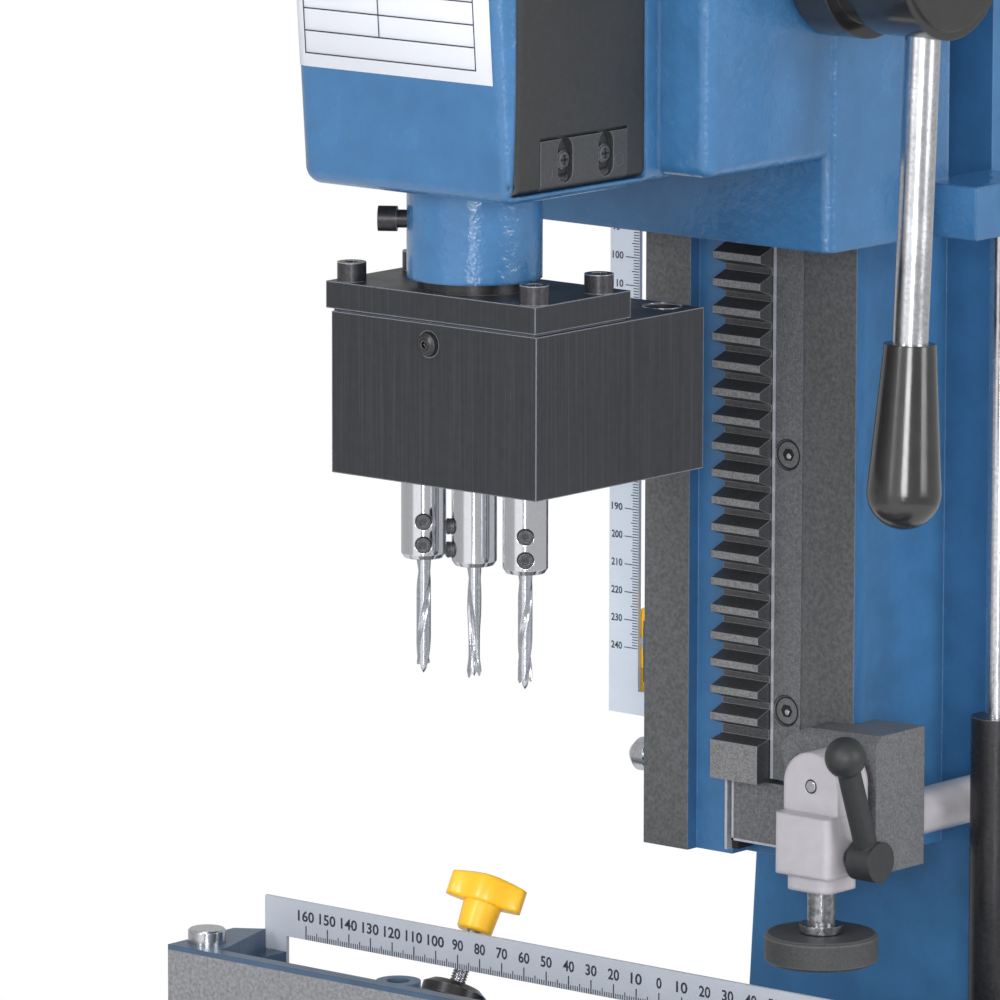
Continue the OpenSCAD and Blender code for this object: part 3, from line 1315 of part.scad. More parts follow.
pedestal();
column();
rack();
way_strip();
strip_screws();
frame_bolts();
knee();
depth_scale();
clamp_bracket();
switch_box();
gas_spring_tube();
start_button();
stop_button();
head_casting();
head_gib();
motor_housing();
fan_cover();
bearings();
mounting_bush();
neck_bolt();
gearbox_body();
gearbox_lid();
lid_screws();
gas_spring_rod();
right_door();
right_hinge_leaf();
right_leaf_screws();
left_door();
left_hinge_leaf();
left_leaf_screws();
motor_rotor();
cooling_fan();
drill_chuck();
middle_spindle();
middle_bit();
left_spindle();
left_bit();
right_spindle();
right_bit();
feed_shaft();
feed_hub();
feed_spokes();
spoke_grips();
depth_stop();
depth_knob();
clamp_housing();
clamp_rod();
clamp_foot();
clamp_lever();
saddle();
table();
x_screw();
x_wheel();
y_screw();
y_wheel();
fence();
ruler();
fence_pins();
knob_boss();
stop_knob();
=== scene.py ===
import json
import math

import bmesh
import bpy
from mathutils import Matrix, Vector


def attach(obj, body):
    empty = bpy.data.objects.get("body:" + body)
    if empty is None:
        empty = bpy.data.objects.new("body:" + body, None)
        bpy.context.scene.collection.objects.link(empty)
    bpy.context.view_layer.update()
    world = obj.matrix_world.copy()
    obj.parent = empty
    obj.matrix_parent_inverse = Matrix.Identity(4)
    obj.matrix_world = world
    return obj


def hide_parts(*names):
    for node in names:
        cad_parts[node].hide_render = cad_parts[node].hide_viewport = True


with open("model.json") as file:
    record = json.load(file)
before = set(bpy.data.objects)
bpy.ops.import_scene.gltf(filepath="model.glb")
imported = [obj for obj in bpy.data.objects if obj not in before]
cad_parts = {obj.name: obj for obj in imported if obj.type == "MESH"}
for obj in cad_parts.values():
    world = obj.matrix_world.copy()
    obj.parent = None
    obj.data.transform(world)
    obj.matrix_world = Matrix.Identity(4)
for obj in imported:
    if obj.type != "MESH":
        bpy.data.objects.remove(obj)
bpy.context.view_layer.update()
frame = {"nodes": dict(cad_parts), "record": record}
NODES = frame["nodes"]
SMOOTH_BELOW = math.radians(32)


def smooth_by_angle():
    """Geometry nodes that shade smooth across edges flatter than SMOOTH_BELOW."""
    g = bpy.data.node_groups.new("smooth_by_angle", "GeometryNodeTree")
    g.interface.new_socket("Geometry", in_out="INPUT", socket_type="NodeSocketGeometry")
    g.interface.new_socket("Geometry", in_out="OUTPUT", socket_type="NodeSocketGeometry")
    start, end = g.nodes.new("NodeGroupInput"), g.nodes.new("NodeGroupOutput")
    merge = g.nodes.new("GeometryNodeMergeByDistance")
    merge.inputs["Distance"].default_value = 0.000002
    faces, edges = g.nodes.new("GeometryNodeSetShadeSmooth"), g.nodes.new("GeometryNodeSetShadeSmooth")
    faces.domain, edges.domain = "FACE", "EDGE"
    angle = g.nodes.new("GeometryNodeInputMeshEdgeAngle")
    flat = g.nodes.new("FunctionNodeCompare")
    flat.data_type, flat.operation = "FLOAT", "LESS_THAN"
    flat.inputs[1].default_value = SMOOTH_BELOW
    g.links.new(angle.outputs["Unsigned Angle"], flat.inputs[0])
    g.links.new(flat.outputs[0], edges.inputs["Shade Smooth"])
    custom = g.nodes.new("GeometryNodeRemoveAttribute")
    custom.inputs["Name"].default_value = "custom_normal"
    for a, b in ((start, custom), (custom, merge), (merge, faces), (faces, edges), (edges, end)):
        g.links.new(a.outputs[0], b.inputs[0])
    return g


SMOOTH = smooth_by_angle()
for o in NODES.values():
    o.modifiers.new("smooth", "NODES").node_group = SMOOTH

# The head frame of the CAD source: millimetres from the middle spindle and the gearbox underside
ORIGIN = Vector((0.0, -0.190, 1.140))


def mm(x, y, z):
    return Vector((x, y, z)) / 1000 + ORIGIN


# Camera: where the photograph was taken from, solved from the printed rule and the gearbox.
# The azimuth turns from the front towards +X; the roll is about the line of sight.
CAMERA_AT = mm(1926.08, -2274.39, 517.50)
CAMERA_AZIMUTH = math.radians(40.0971)
CAMERA_ELEVATION = math.radians(9.9836)
CAMERA_ROLL = math.radians(0.0970)
SENSOR = 36.0
LENS_OVER_SENSOR = 9.17013

level = Vector((math.cos(CAMERA_AZIMUTH), math.sin(CAMERA_AZIMUTH), 0))
camera_back = Vector((math.sin(CAMERA_AZIMUTH) * math.cos(CAMERA_ELEVATION),
                      -math.cos(CAMERA_AZIMUTH) * math.cos(CAMERA_ELEVATION),
                      math.sin(CAMERA_ELEVATION)))
camera_right = Matrix.Rotation(CAMERA_ROLL, 3, camera_back) @ level
camera_up = camera_back.cross(camera_right)

camera_data = bpy.data.cameras.new("camera")
camera_data.sensor_width = SENSOR
camera_data.lens = SENSOR * LENS_OVER_SENSOR
camera_data.clip_start, camera_data.clip_end = 0.1, 200
camera = bpy.data.objects.new("camera", camera_data)
bpy.context.scene.collection.objects.link(camera)
turned_to = Matrix((camera_right, camera_up, camera_back)).transposed()
camera.matrix_world = Matrix.Translation(CAMERA_AT) @ turned_to.to_4x4()
bpy.context.scene.camera = camera


# Materials
def linear(value):
    """A screen value of 0 to 255 as linear light."""
    value /= 255
    return value / 12.92 if value <= 0.04045 else ((value + 0.055) / 1.055) ** 2.4


def srgb(red, green, blue):
    return (linear(red), linear(green), linear(blue), 1.0)


PATCH_DETAIL, FINE_DETAIL = 4.0, 3.0
NOISE_ROUGHNESS = 0.55
NOISE_LOW, NOISE_HIGH = 0.3, 0.7
GLOSS_PATCH = 60.0
BARE_PATCH = 750.0


class Mat:
    """A node material: colour and roughness that vary in patches, and a relief of up to two noises."""

    def __init__(self, name, colour, dark, light, patch, rough, metallic=0.0, coat=0.0, coat_rough=0.1,
                 bump=((200.0, 0.2, 0.0004),), edge=0.0005, specular=0.5):
        m = bpy.data.materials.new(name)
        m.use_nodes = True
        self.m, self.nt = m, m.node_tree
        self.nt.nodes.clear()
        out = self.new("ShaderNodeOutputMaterial")
        self.p = self.new("ShaderNodeBsdfPrincipled")
        self.link(self.p.outputs[0], out.inputs[0])
        self.coord = self.new("ShaderNodeTexCoord").outputs["Object"]
        self.set_colour(self.mix_noise(colour, dark, light, patch, PATCH_DETAIL))
        gloss = self.ramp_value(self.noise(GLOSS_PATCH), NOISE_LOW, NOISE_HIGH, *rough)
        self.link(gloss, self.p.inputs["Roughness"])
        self.p.inputs["Metallic"].default_value = metallic
        self.p.inputs["Specular IOR Level"].default_value = specular
        if coat:
            self.p.inputs["Coat Weight"].default_value = coat
            self.p.inputs["Coat Roughness"].default_value = coat_rough
        normal = None
        if edge:
            bevel = self.new("ShaderNodeBevel")
            bevel.samples = 4
            bevel.inputs["Radius"].default_value = edge
            normal = bevel.outputs[0]
        for scale, strength, distance in bump:
            b = self.new("ShaderNodeBump")
            b.inputs["Strength"].default_value = strength
            b.inputs["Distance"].default_value = distance
            self.link(self.noise(scale), b.inputs["Height"])
            if normal is not None:
                self.link(normal, b.inputs["Normal"])
            normal = b.outputs[0]
        if normal is not None:
            self.link(normal, self.p.inputs["Normal"])
            if coat:
                self.link(normal, self.p.inputs["Coat Normal"])

    def new(self, kind):
        return self.nt.nodes.new(kind)

    def link(self, a, b):
        self.nt.links.new(a, b)

    def noise(self, scale, detail=FINE_DETAIL, vec=None):
        n = self.new("ShaderNodeTexNoise")
        n.inputs["Scale"].default_value = scale
        n.inputs["Detail"].default_value = detail
        n.inputs["Roughness"].default_value = NOISE_ROUGHNESS
        self.link(vec or self.coord, n.inputs["Vector"])
        return n.outputs["Fac"]

    def ramp_value(self, fac, a, b, lo, hi):
        """lo where fac is a, hi where it is b, and between them in a straight line."""
        ramp = self.new("ShaderNodeMapRange")
        ramp.inputs["From Min"].default_value, ramp.inputs["From Max"].default_value = a, b
        ramp.inputs["To Min"].default_value, ramp.inputs["To Max"].default_value = lo, hi
        self.link(fac, ramp.inputs["Value"])
        return ramp.outputs["Result"]

    def mix_noise(self, colour, dark, light, scale, detail):
        """A colour that runs from its darker to its lighter share in patches."""
        mix = self.new("ShaderNodeMix")
        mix.data_type = "RGBA"
        mix.inputs["A"].default_value = [c * dark for c in colour[:3]] + [1]
        mix.inputs["B"].default_value = [min(c * light, 1) for c in colour[:3]] + [1]
        share = self.ramp_value(self.noise(scale, detail), NOISE_LOW, NOISE_HIGH, 0, 1)
        self.link(share, mix.inputs["Factor"])
        return mix.outputs["Result"]

    def set_colour(self, socket):
        self.colour = socket
        self.link(socket, self.p.inputs["Base Color"])

    def math(self, kind, a, b):
        n = self.new("ShaderNodeMath")
        n.operation = kind
        for i, v in enumerate((a, b)):
            if isinstance(v, (int, float)):
                n.inputs[i].default_value = v
            else:
                self.link(v, n.inputs[i])
        return n.outputs[0]

    def worn_edges(self, colour, radius, strength):
        """Lays colour along the sharp edges, where a rounded normal leaves the face's own: painted edge
        highlights, and wear.
        """
        bevel = self.new("ShaderNodeBevel")
        bevel.samples = 6
        bevel.inputs["Radius"].default_value = radius
        flat = self.new("ShaderNodeNewGeometry").outputs["True Normal"]
        dot = self.new("ShaderNodeVectorMath")
        dot.operation = "DOT_PRODUCT"
        self.link(bevel.outputs[0], dot.inputs[0])
        self.link(flat, dot.inputs[1])
        fac = self.ramp_value(dot.outputs["Value"], 0.99, 0.9, 0.0, strength)
        self.over(colour, fac)

    def streaks(self, stretch, scale, dark, light, amount):
        """Darkens and lightens the colour along stretched noise, as brushing and scraping do."""
        m = self.new("ShaderNodeMapping")
        m.inputs["Scale"].default_value = stretch
        self.link(self.coord, m.inputs[0])
        n = self.noise(scale, vec=m.outputs[0])
        self.over(dark, self.ramp_value(n, 0.5, 0.3, 0.0, amount))
        self.over(light, self.ramp_value(n, 0.52, 0.72, 0.0, amount))

    def band(self, axis, low, high):
        """1 between two places along an axis, in metres, and 0 elsewhere."""
        sep = self.new("ShaderNodeSeparateXYZ")
        self.link(self.coord, sep.inputs[0])
        v = sep.outputs[axis]
        return self.math("MULTIPLY", self.math("GREATER_THAN", v, low), self.math("LESS_THAN", v, high))

    def over(self, colour, fac):
        """Lays another colour over this one where fac is 1."""
        mix = self.new("ShaderNodeMix")
        mix.data_type = "RGBA"
        self.link(self.colour, mix.inputs["A"])
        if isinstance(colour, tuple):
            mix.inputs["B"].default_value = colour
        else:
            self.link(colour, mix.inputs["B"])
        self.link(fac, mix.inputs["Factor"])
        self.set_colour(mix.outputs["Result"])


BLUE = srgb(56, 105, 150)
FENCE_BLUE = srgb(66, 88, 112)
blue = Mat("blue_enamel", BLUE, dark=0.88, light=1.08, patch=60, rough=(0.2, 0.3), coat=0.7,
           coat_rough=0.08, bump=((260.0, 0.5, 0.0008), (1100.0, 0.16, 0.0002)), edge=0.0018, specular=0.3)
charcoal = Mat("charcoal_enamel", srgb(47, 49, 52), dark=0.92, light=1.08, patch=300, rough=(0.32, 0.42),
               bump=((900.0, 0.12, 0.0002),), edge=0.0006, specular=0.22)
charcoal.streaks((420, 420, 5), 3.0, srgb(37, 38, 41), srgb(66, 68, 71), 0.4)
# Lighter gearbox edges: painted edge highlights, and wear
charcoal.worn_edges(srgb(150, 154, 166), 0.0007, 0.8)
black_parts = Mat("black_parts", srgb(37, 39, 41), dark=0.85, light=1.15, patch=400, rough=(0.42, 0.55),
                  bump=((1500.0, 0.2, 0.0003),), edge=0.001)
way_iron = Mat("way_iron", srgb(103, 104, 107), dark=0.8, light=1.18, patch=900, rough=(0.42, 0.55),
               metallic=0.3, bump=((1500.0, 0.3, 0.0003),), edge=0.0004)
way_iron.streaks((600, 600, 500), 3.0, srgb(66, 67, 70), srgb(136, 138, 143), 0.55)
rack_steel = Mat("rack_steel", srgb(74, 75, 78), dark=0.6, light=1.45, patch=1400, rough=(0.35, 0.5),
                 metallic=0.4, bump=((1400.0, 0.3, 0.0003),), edge=0.0003)
# Lighter rack edges: painted edge highlights, and wear
rack_steel.worn_edges(srgb(176, 177, 182), 0.0004, 0.75)
foot_iron = Mat("foot_iron", srgb(57, 58, 60), dark=0.7, light=1.35, patch=1500, rough=(0.5, 0.62),
                bump=((1600.0, 0.4, 0.0003),), edge=0.0008)
# Lighter foot edges: painted edge highlights, and wear
foot_iron.worn_edges(srgb(122, 124, 128), 0.0009, 0.6)
black_oxide = Mat("black_oxide", srgb(48, 48, 51), dark=0.75, light=1.25, patch=600, rough=(0.24, 0.36),
                  metallic=0.5, bump=((1200.0, 0.15, 0.0002),), edge=0.0004)
# Lighter edges of the black oxide parts: painted edge highlights, and wear
black_oxide.worn_edges(srgb(150, 152, 158), 0.0004, 0.7)
turned = Mat("turned_steel", srgb(214, 215, 220), dark=0.96, light=1.02, patch=900, rough=(0.08, 0.14),
             metallic=1.0, bump=(), edge=0.0004)
bit_steel = Mat("bit_steel", srgb(200, 203, 211), dark=0.8, light=1.08, patch=900, rough=(0.14, 0.24),
                metallic=1.0, bump=((1500.0, 0.12, 0.0002),), edge=0.0)
zinc = Mat("bright_zinc", srgb(200, 201, 206), dark=0.85, light=1.1, patch=700, rough=(0.14, 0.3),
           metallic=1.0, bump=((1200.0, 0.08, 0.0002),), edge=0.0004)
mottled = Mat("mottled_zinc", srgb(150, 151, 156), dark=0.4, light=1.35, patch=500, rough=(0.14, 0.34),
              metallic=1.0, bump=((900.0, 0.2, 0.0003),), edge=0.0004)
sheet_paint = Mat("scale_enamel", srgb(196, 205, 217), dark=0.97, light=1.03, patch=60, rough=(0.38, 0.46),
                  bump=((2500.0, 0.05, 0.0001),), edge=0.0002)
table_iron = Mat("table_iron", srgb(140, 140, 141), dark=0.85, light=1.08, patch=300, rough=(0.3, 0.45),
                 metallic=0.6, bump=((1800.0, 0.15, 0.0002),), edge=0.0006)
clamp_white = Mat("clamp_white", srgb(171, 168, 174), dark=0.95, light=1.03, patch=200, rough=(0.3, 0.42),
                  coat=0.3, bump=((600.0, 0.2, 0.0003),), edge=0.002)
yellow = Mat("yellow_knob", srgb(255, 192, 30), dark=0.94, light=1.04, patch=120, rough=(0.28, 0.38),
             coat=0.2, bump=((900.0, 0.06, 0.0002),), edge=0.0012)
bronze = Mat("bushing", srgb(176, 140, 84), dark=0.85, light=1.1, patch=400, rough=(0.3, 0.45),
             metallic=0.9, edge=0.0003)
phenolic = Mat("wheel_black", srgb(34, 34, 35), dark=0.85, light=1.2, patch=120, rough=(0.16, 0.26),
               coat=0.4, bump=((500.0, 0.05, 0.0002),), edge=0.001)
green = Mat("green_button", srgb(40, 150, 70), dark=0.9, light=1.1, patch=200, rough=(0.25, 0.35),
            edge=0.0008)
red = Mat("red_button", srgb(200, 34, 28), dark=0.9, light=1.1, patch=200, rough=(0.25, 0.35), edge=0.0008)
fan_plastic = Mat("fan_plastic", srgb(48, 48, 50), dark=0.85, light=1.15, patch=200, rough=(0.5, 0.6),
                  edge=0.0004)
label_white = Mat("label_white", srgb(222, 225, 234), dark=0.98, light=1.01, patch=40, rough=(0.3, 0.38),
                  edge=0.0)
ink = Mat("ink", srgb(46, 50, 60), dark=0.85, light=1.15, patch=800, rough=(0.5, 0.6), edge=0.0)
# Near black: dark joints round screws and pins, and painted shade in slots and sockets
dark_gap = Mat("dark_gap", srgb(20, 20, 22), dark=0.8, light=1.2, patch=300, rough=(0.7, 0.8), edge=0.0)
# Pale metal: the thin strip, and painted highlights on the strip's chamfer and the panel's edges
pale_edge = Mat("pale_edge", srgb(176, 180, 190), dark=0.85, light=1.1, patch=600, rough=(0.3, 0.4),
                metallic=0.3, edge=0.0)

# The look of each slot
BY_SLOT = {
    "blue_enamel": blue, "charcoal_enamel": charcoal, "black_parts": black_parts, "way_iron": way_iron,
    "rack_steel": rack_steel, "black_oxide": black_oxide, "turned_steel": turned, "bit_steel": bit_steel,
    "bright_zinc": zinc, "scale_enamel": sheet_paint, "fence_grey": blue, "table_iron": table_iron,
    "clamp_white": clamp_white, "yellow_knob": yellow, "bushing": bronze, "wheel_black": phenolic,
    "green_button": green, "red_button": red, "motor_blue": blue, "fan_plastic": fan_plastic,
}

# The lands of the rack's teeth are scraped bright
RACK_LAND = ORIGIN.y + 0.1381
on_land = rack_steel.band("Y", RACK_LAND - 0.0002, RACK_LAND + 0.00025)
scraped = rack_steel.ramp_value(rack_steel.noise(1800.0), 0.35, 0.6, 0.35, 1.0)
rack_steel.over(srgb(140, 140, 142), rack_steel.math("MULTIPLY", on_land, scraped))

SLOT_OF = {s["node"]: s["material_slot"] for s in frame["record"]["subparts"]}
for name, o in NODES.items():
    o.data.materials.clear()
    o.data.materials.append(BY_SLOT[SLOT_OF[name]].m)


# Column and fence: painted castings whose working faces are ground bare, told apart by their place
def ground_casting(name, paint, bare_colour, face, low, high):
    """Paint that is bare on the face between two places along Y, from one height to another, in metres."""
    m = Mat(name, paint, dark=0.85, light=1.1, patch=70, rough=(0.28, 0.4),
            bump=((330.0, 0.3, 0.0006), (1300.0, 0.2, 0.0002)), edge=0.0008)
    painted_rough, bare_rough, bare_metal = 0.33, 0.55, 0.3
    bare = m.math("MULTIPLY", m.band("Y", *face), m.band("Z", low, high))
    m.over(m.mix_noise(bare_colour, 0.7, 1.22, BARE_PATCH, FINE_DETAIL), bare)
    m.link(m.math("MULTIPLY", bare, bare_metal), m.p.inputs["Metallic"])
    rough = m.new("ShaderNodeMix")
    rough.inputs["A"].default_value, rough.inputs["B"].default_value = painted_rough, bare_rough
    m.link(bare, rough.inputs["Factor"])
    m.link(rough.outputs["Result"], m.p.inputs["Roughness"])
    return m


WAY_FACE = ORIGIN.y + 0.1456
FENCE_FACE = ORIGIN.y + 0.0475
column_paint = ground_casting("column_paint", BLUE, srgb(90, 91, 93), (WAY_FACE - 0.0005, WAY_FACE + 0.0003),
                              0.95, 1.6)
# Lighter blue along the column's edges: painted edge highlights, and wear
column_paint.worn_edges(srgb(120, 158, 200), 0.0005, 0.5)
fence_paint = ground_casting("fence_paint", FENCE_BLUE, srgb(140, 141, 145),
                             (FENCE_FACE - 0.001, FENCE_FACE + 0.0002), 0.8, 0.9462)
leaf_black = Mat("leaf_black", srgb(52, 54, 57), dark=0.7, light=1.35, patch=1500, rough=(0.4, 0.52),
                 bump=((1600.0, 0.3, 0.0003),), edge=0.0006)
# Lighter hinge leaf edges: painted edge highlights, and wear
leaf_black.worn_edges(srgb(120, 123, 130), 0.0005, 0.7)
leaf_screw = Mat("leaf_screw", srgb(70, 71, 75), dark=0.7, light=1.3, patch=900, rough=(0.24, 0.36),
                 metallic=0.4, bump=((1200.0, 0.15, 0.0002),), edge=0.0003)
# Lighter screw head edges: painted edge highlights, and wear
leaf_screw.worn_edges(srgb(190, 192, 200), 0.0004, 0.8)
ruler_enamel = Mat("ruler_enamel", srgb(178, 184, 194), dark=0.97, light=1.03, patch=60, rough=(0.38, 0.46),
                   bump=((2500.0, 0.05, 0.0001),), edge=0.0002)
lid_screw_steel = Mat("lid_screw_steel", srgb(62, 62, 66), dark=0.7, light=1.3, patch=600,
                      rough=(0.24, 0.36), metallic=0.5, bump=((1200.0, 0.15, 0.0002),), edge=0.0004)
# Lighter lid screw rims: painted highlights, and wear
lid_screw_steel.worn_edges(srgb(196, 198, 206), 0.0006, 0.85)

# Nodes that look different from their slot's material
OWN_LOOK = {
    "column": column_paint, "fence": fence_paint, "clamp_foot": foot_iron, "strip_screws": way_iron,
    "right_hinge_leaf": leaf_black, "left_hinge_leaf": leaf_black, "ruler": ruler_enamel,
    "lid_screws": lid_screw_steel, "clamp_bracket": way_iron, "clamp_rod": mottled,
}
for name, look in OWN_LOOK.items():
    NODES[name].data.materials[0] = look.m


# Makers of the pieces that only the looks have
def mesh_obj(name, bm, mat, body, smooth=True):
    me = bpy.data.meshes.new(name)
    bm.normal_update()
    bm.to_mesh(me)
    bm.free()
    if smooth:
        me.shade_smooth()
        me.set_sharp_from_angle(angle=SMOOTH_BELOW)
    o = bpy.data.objects.new(name, me)
    o.data.materials.append(mat.m)
    bpy.context.scene.collection.objects.link(o)
    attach(o, body)
    return o


def box_bm(bm, low, high):
    size = high - low
    place = Matrix.Translation((low + high) / 2) @ Matrix.Diagonal((size.x, size.y, size.z, 1))
    bmesh.ops.create_cube(bm, size=1, matrix=place)


def axis_matrix(at, direction):
    return Matrix.Translation(at) @ Vector(direction).to_track_quat("Z", "Y").to_matrix().to_4x4()


def lathe_bm(bm, at, direction, profile, segments=48):
    """Turns (radius, height) pairs about an axis; heights run along direction. Lengths in millimetres."""
    m = axis_matrix(at, direction)
    turns = [2 * math.pi * i / segments for i in range(segments)]
    rings = []
    for r, h in profile:
        if r == 0:
            rings.append([bm.verts.new(m @ Vector((0, 0, h / 1000)))])
        else:
            rings.append([bm.verts.new(m @ (Vector((r * math.cos(a), r * math.sin(a), h)) / 1000))
                          for a in turns])
    for a, b in zip(rings, rings[1:]):
        if len(a) == 1 and len(b) == 1:
            continue
        for i in range(segments):
            j = (i + 1) % segments
            if len(a) == 1:
                bm.faces.new((a[0], b[j], b[i]))
            elif len(b) == 1:
                bm.faces.new((a[i], a[j], b[0]))
            else:
                bm.faces.new((a[i], a[j], b[j], b[i]))
    bmesh.ops.recalc_face_normals(bm, faces=bm.faces[:])


def lathe(name, at, direction, profile, mat, body, segments=48):
    bm = bmesh.new()
    lathe_bm(bm, at, direction, profile, segments)
    mesh_obj(name, bm, mat, body)


def loft(name, rings, mat, body, smooth=True):
    """Skins rings of equally many points, given in metres, and caps both ends."""
    bm = bmesh.new()
    rows = [[bm.verts.new(p) for p in ring] for ring in rings]
    n = len(rows[0])
    for a, b in zip(rows, rows[1:]):
        for i in range(n):
            bm.faces.new((a[i], a[(i + 1) % n], b[(i + 1) % n], b[i]))
    bm.faces.new(rows[0])
    bm.faces.new(rows[-1])
    bmesh.ops.recalc_face_normals(bm, faces=bm.faces[:])
    return mesh_obj(name, bm, mat, body, smooth=smooth)


def boxes(name, pairs, mat, body):
    """One mesh of several boxes, each given by two corners in head-frame millimetres."""
    bm = bmesh.new()
    for low, high in pairs:
        box_bm(bm, mm(*low), mm(*high))
    mesh_obj(name, bm, mat, body, smooth=False)


def ring_bm(bm, at, direction, radius, thick, segments=32):
    """A wire ring of six sides about an axis; radius and thickness in millimetres."""
    m = axis_matrix(at, direction)
    sides = 6
    rows = []
    for i in range(segments):
        a = 2 * math.pi * i / segments
        row = []
        for k in range(sides):
            b = 2 * math.pi * k / sides
            q = radius + thick / 2 * math.cos(b)
            point = Vector((q * math.cos(a), q * math.sin(a), thick / 2 * math.sin(b)))
            row.append(bm.verts.new(m @ (point / 1000)))
        rows.append(row)
    for i in range(segments):
        a, b = rows[i], rows[(i + 1) % segments]
        for k in range(sides):
            bm.faces.new((a[k], b[k], b[(k + 1) % sides], a[(k + 1) % sides]))


def digits_bm(bm, text, at, height, width):
    """Adds the figures of text, facing -Y, on a point that is their lower middle; sizes in millimetres."""
    curve = bpy.data.curves.new("figures", "FONT")
    curve.body = text
    curve.resolution_u = 3
    curve.offset = 0.022
    o = bpy.data.objects.new("figures", curve)
    bpy.context.scene.collection.objects.link(o)
    bpy.context.view_layer.update()
    me = bpy.data.meshes.new_from_object(o.evaluated_get(bpy.context.evaluated_depsgraph_get()))
    xs = [v.co.x for v in me.vertices]
    ys = [v.co.y for v in me.vertices]
    x0, x1, y0, y1 = min(xs), max(xs), min(ys), max(ys)
    for v in me.vertices:
        right = ((v.co.x - x0) / (x1 - x0) - 0.5) * width / 1000
        up = (v.co.y - y0) / (y1 - y0) * height / 1000
        v.co = at + Vector((right, 0, up))
    bm.from_mesh(me)
    bpy.data.objects.remove(o)
    bpy.data.curves.remove(curve)
    bpy.data.meshes.remove(me)


def plate_bm(bm, x0, x1, y, z0, z1):
    """A printed mark: a flat rectangle facing -Y, in head-frame millimetres."""
    bm.faces.new([bm.verts.new(mm(x, y, z)) for x, z in ((x0, z0), (x1, z0), (x1, z1), (x0, z1))])


# Bare rating label, which follows the housing's rounded edge, with ruled lines and no words
HOUSING_SIDE, HOUSING_FRONT, HOUSING_ROUND, DRAFT_FROM = 45.7, 35.5, 6.0, 104
DRAFT = math.radians(4.4)
LABEL_WRAP = math.radians(65)


def housing_lean(z):
    """How far the housing's front leans out at a height."""
    return math.tan(DRAFT) * (z - DRAFT_FROM)


def housing_front_line(right, z, off):
    """Points along the housing's front at a height, from its left rounding to x = right, proud by off."""
    steps = 10
    cx, cy = -HOUSING_SIDE + HOUSING_ROUND, -HOUSING_FRONT + HOUSING_ROUND - housing_lean(z)
    q = HOUSING_ROUND + off
    turns = [LABEL_WRAP * (1 - k / steps) for k in range(steps + 1)]
    return [(cx - q * math.sin(a), cy - q * math.cos(a)) for a in turns] + [(right, cy - q)]


def label_strip(name, right, z0, z1, off, mat):
    bm = bmesh.new()
    low = [bm.verts.new(mm(x, y, z0)) for x, y in housing_front_line(right, z0, off)]
    high = [bm.verts.new(mm(x, y, z1)) for x, y in housing_front_line(right, z1, off)]
    for i in range(len(low) - 1):
        bm.faces.new((low[i], low[i + 1], high[i + 1], high[i]))
    o = mesh_obj(name, bm, mat, "head")
    thick = o.modifiers.new("thickness", "SOLIDIFY")
    thick.thickness = 0.00015
    thick.offset = -1


label_strip("label_plate", 39.9, 137.5, 262, 0.2, label_white)

LINE_LEFT, LINE_COLUMN, LINE_RIGHT = -39.5, -7.4, 33.2
LINE_FOOT, LINE_LOW, LINE_TOP, LINE_PITCH = 142.0, 149.5, 256, 7.4
LINE_HALF = 0.22


def label_line_bm(bm, x0, x1, z0, z1):
    """A printed line on the leaning label."""
    corners = ((x0, z0), (x1, z0), (x1, z1), (x0, z1))
    bm.faces.new([bm.verts.new(mm(x, -HOUSING_FRONT - 0.42 - housing_lean(z), z)) for x, z in corners])


bm = bmesh.new()
for z in [LINE_FOOT] + [LINE_LOW + LINE_PITCH * k for k in range(7)] + [LINE_TOP]:
    label_line_bm(bm, LINE_LEFT, LINE_RIGHT, z - LINE_HALF, z + LINE_HALF)
for x, low in ((LINE_LEFT, LINE_FOOT - 0.2), (LINE_COLUMN, LINE_LOW), (LINE_RIGHT, LINE_FOOT - 0.2)):
    label_line_bm(bm, x - LINE_HALF, x + LINE_HALF, low, LINE_TOP)
mesh_obj("label_lines", bm, ink, "head", smooth=False)

# Set screws of the spindles: threaded, proud of the spindle by different lengths, with a round socket
SPINDLE_PITCH, SPINDLE_RADIUS = 22, 7.5
SET_SCREWS = ((-SPINDLE_PITCH, 310, 0.7, "left_drill"), (0, 230, 2.0, "drive"),
              (SPINDLE_PITCH, 310, 0.7, "right_drill"))
THREAD_CREST, THREAD_ROOT, THREAD_PITCH = 2.72, 2.45, 0.7

for i, (x, facing, proud, body) in enumerate(SET_SCREWS):
    outward = Vector((math.cos(math.radians(facing)), math.sin(math.radians(facing)), 0))
    top = SPINDLE_RADIUS + proud
    thread = []
    h = 3.0
    while h < top - 1.2:
        thread += [(THREAD_CREST, h), (THREAD_ROOT, h + THREAD_PITCH / 2)]
        h += THREAD_PITCH
    head = [(THREAD_CREST, top - 1.0), (THREAD_CREST, top - 0.5), (2.3, top)]
    socket = [(1.45, top), (1.4, top - 1.8), (0, top - 1.8)]
    for j, z in enumerate((-15.7, -23.5)):
        lathe(f"set_screw_{i}_{j}", mm(x, 0, z), outward, [(0, 3)] + thread + head + socket,
              black_oxide, body, 24)

# Button-head screw on the gearbox, in its sunk seat
lathe("gearbox_button_screw", mm(-2, -21, 47.2), (0, -1, 0),
      [(2.0, -6), (2.0, -0.2), (4.1, -0.2), (4.1, 0.5), (3.7, 1.4), (2.6, 2.1), (1.3, 2.3),
       (1.25, 0.6), (0, 0.5)],
      black_oxide, "head", 40)


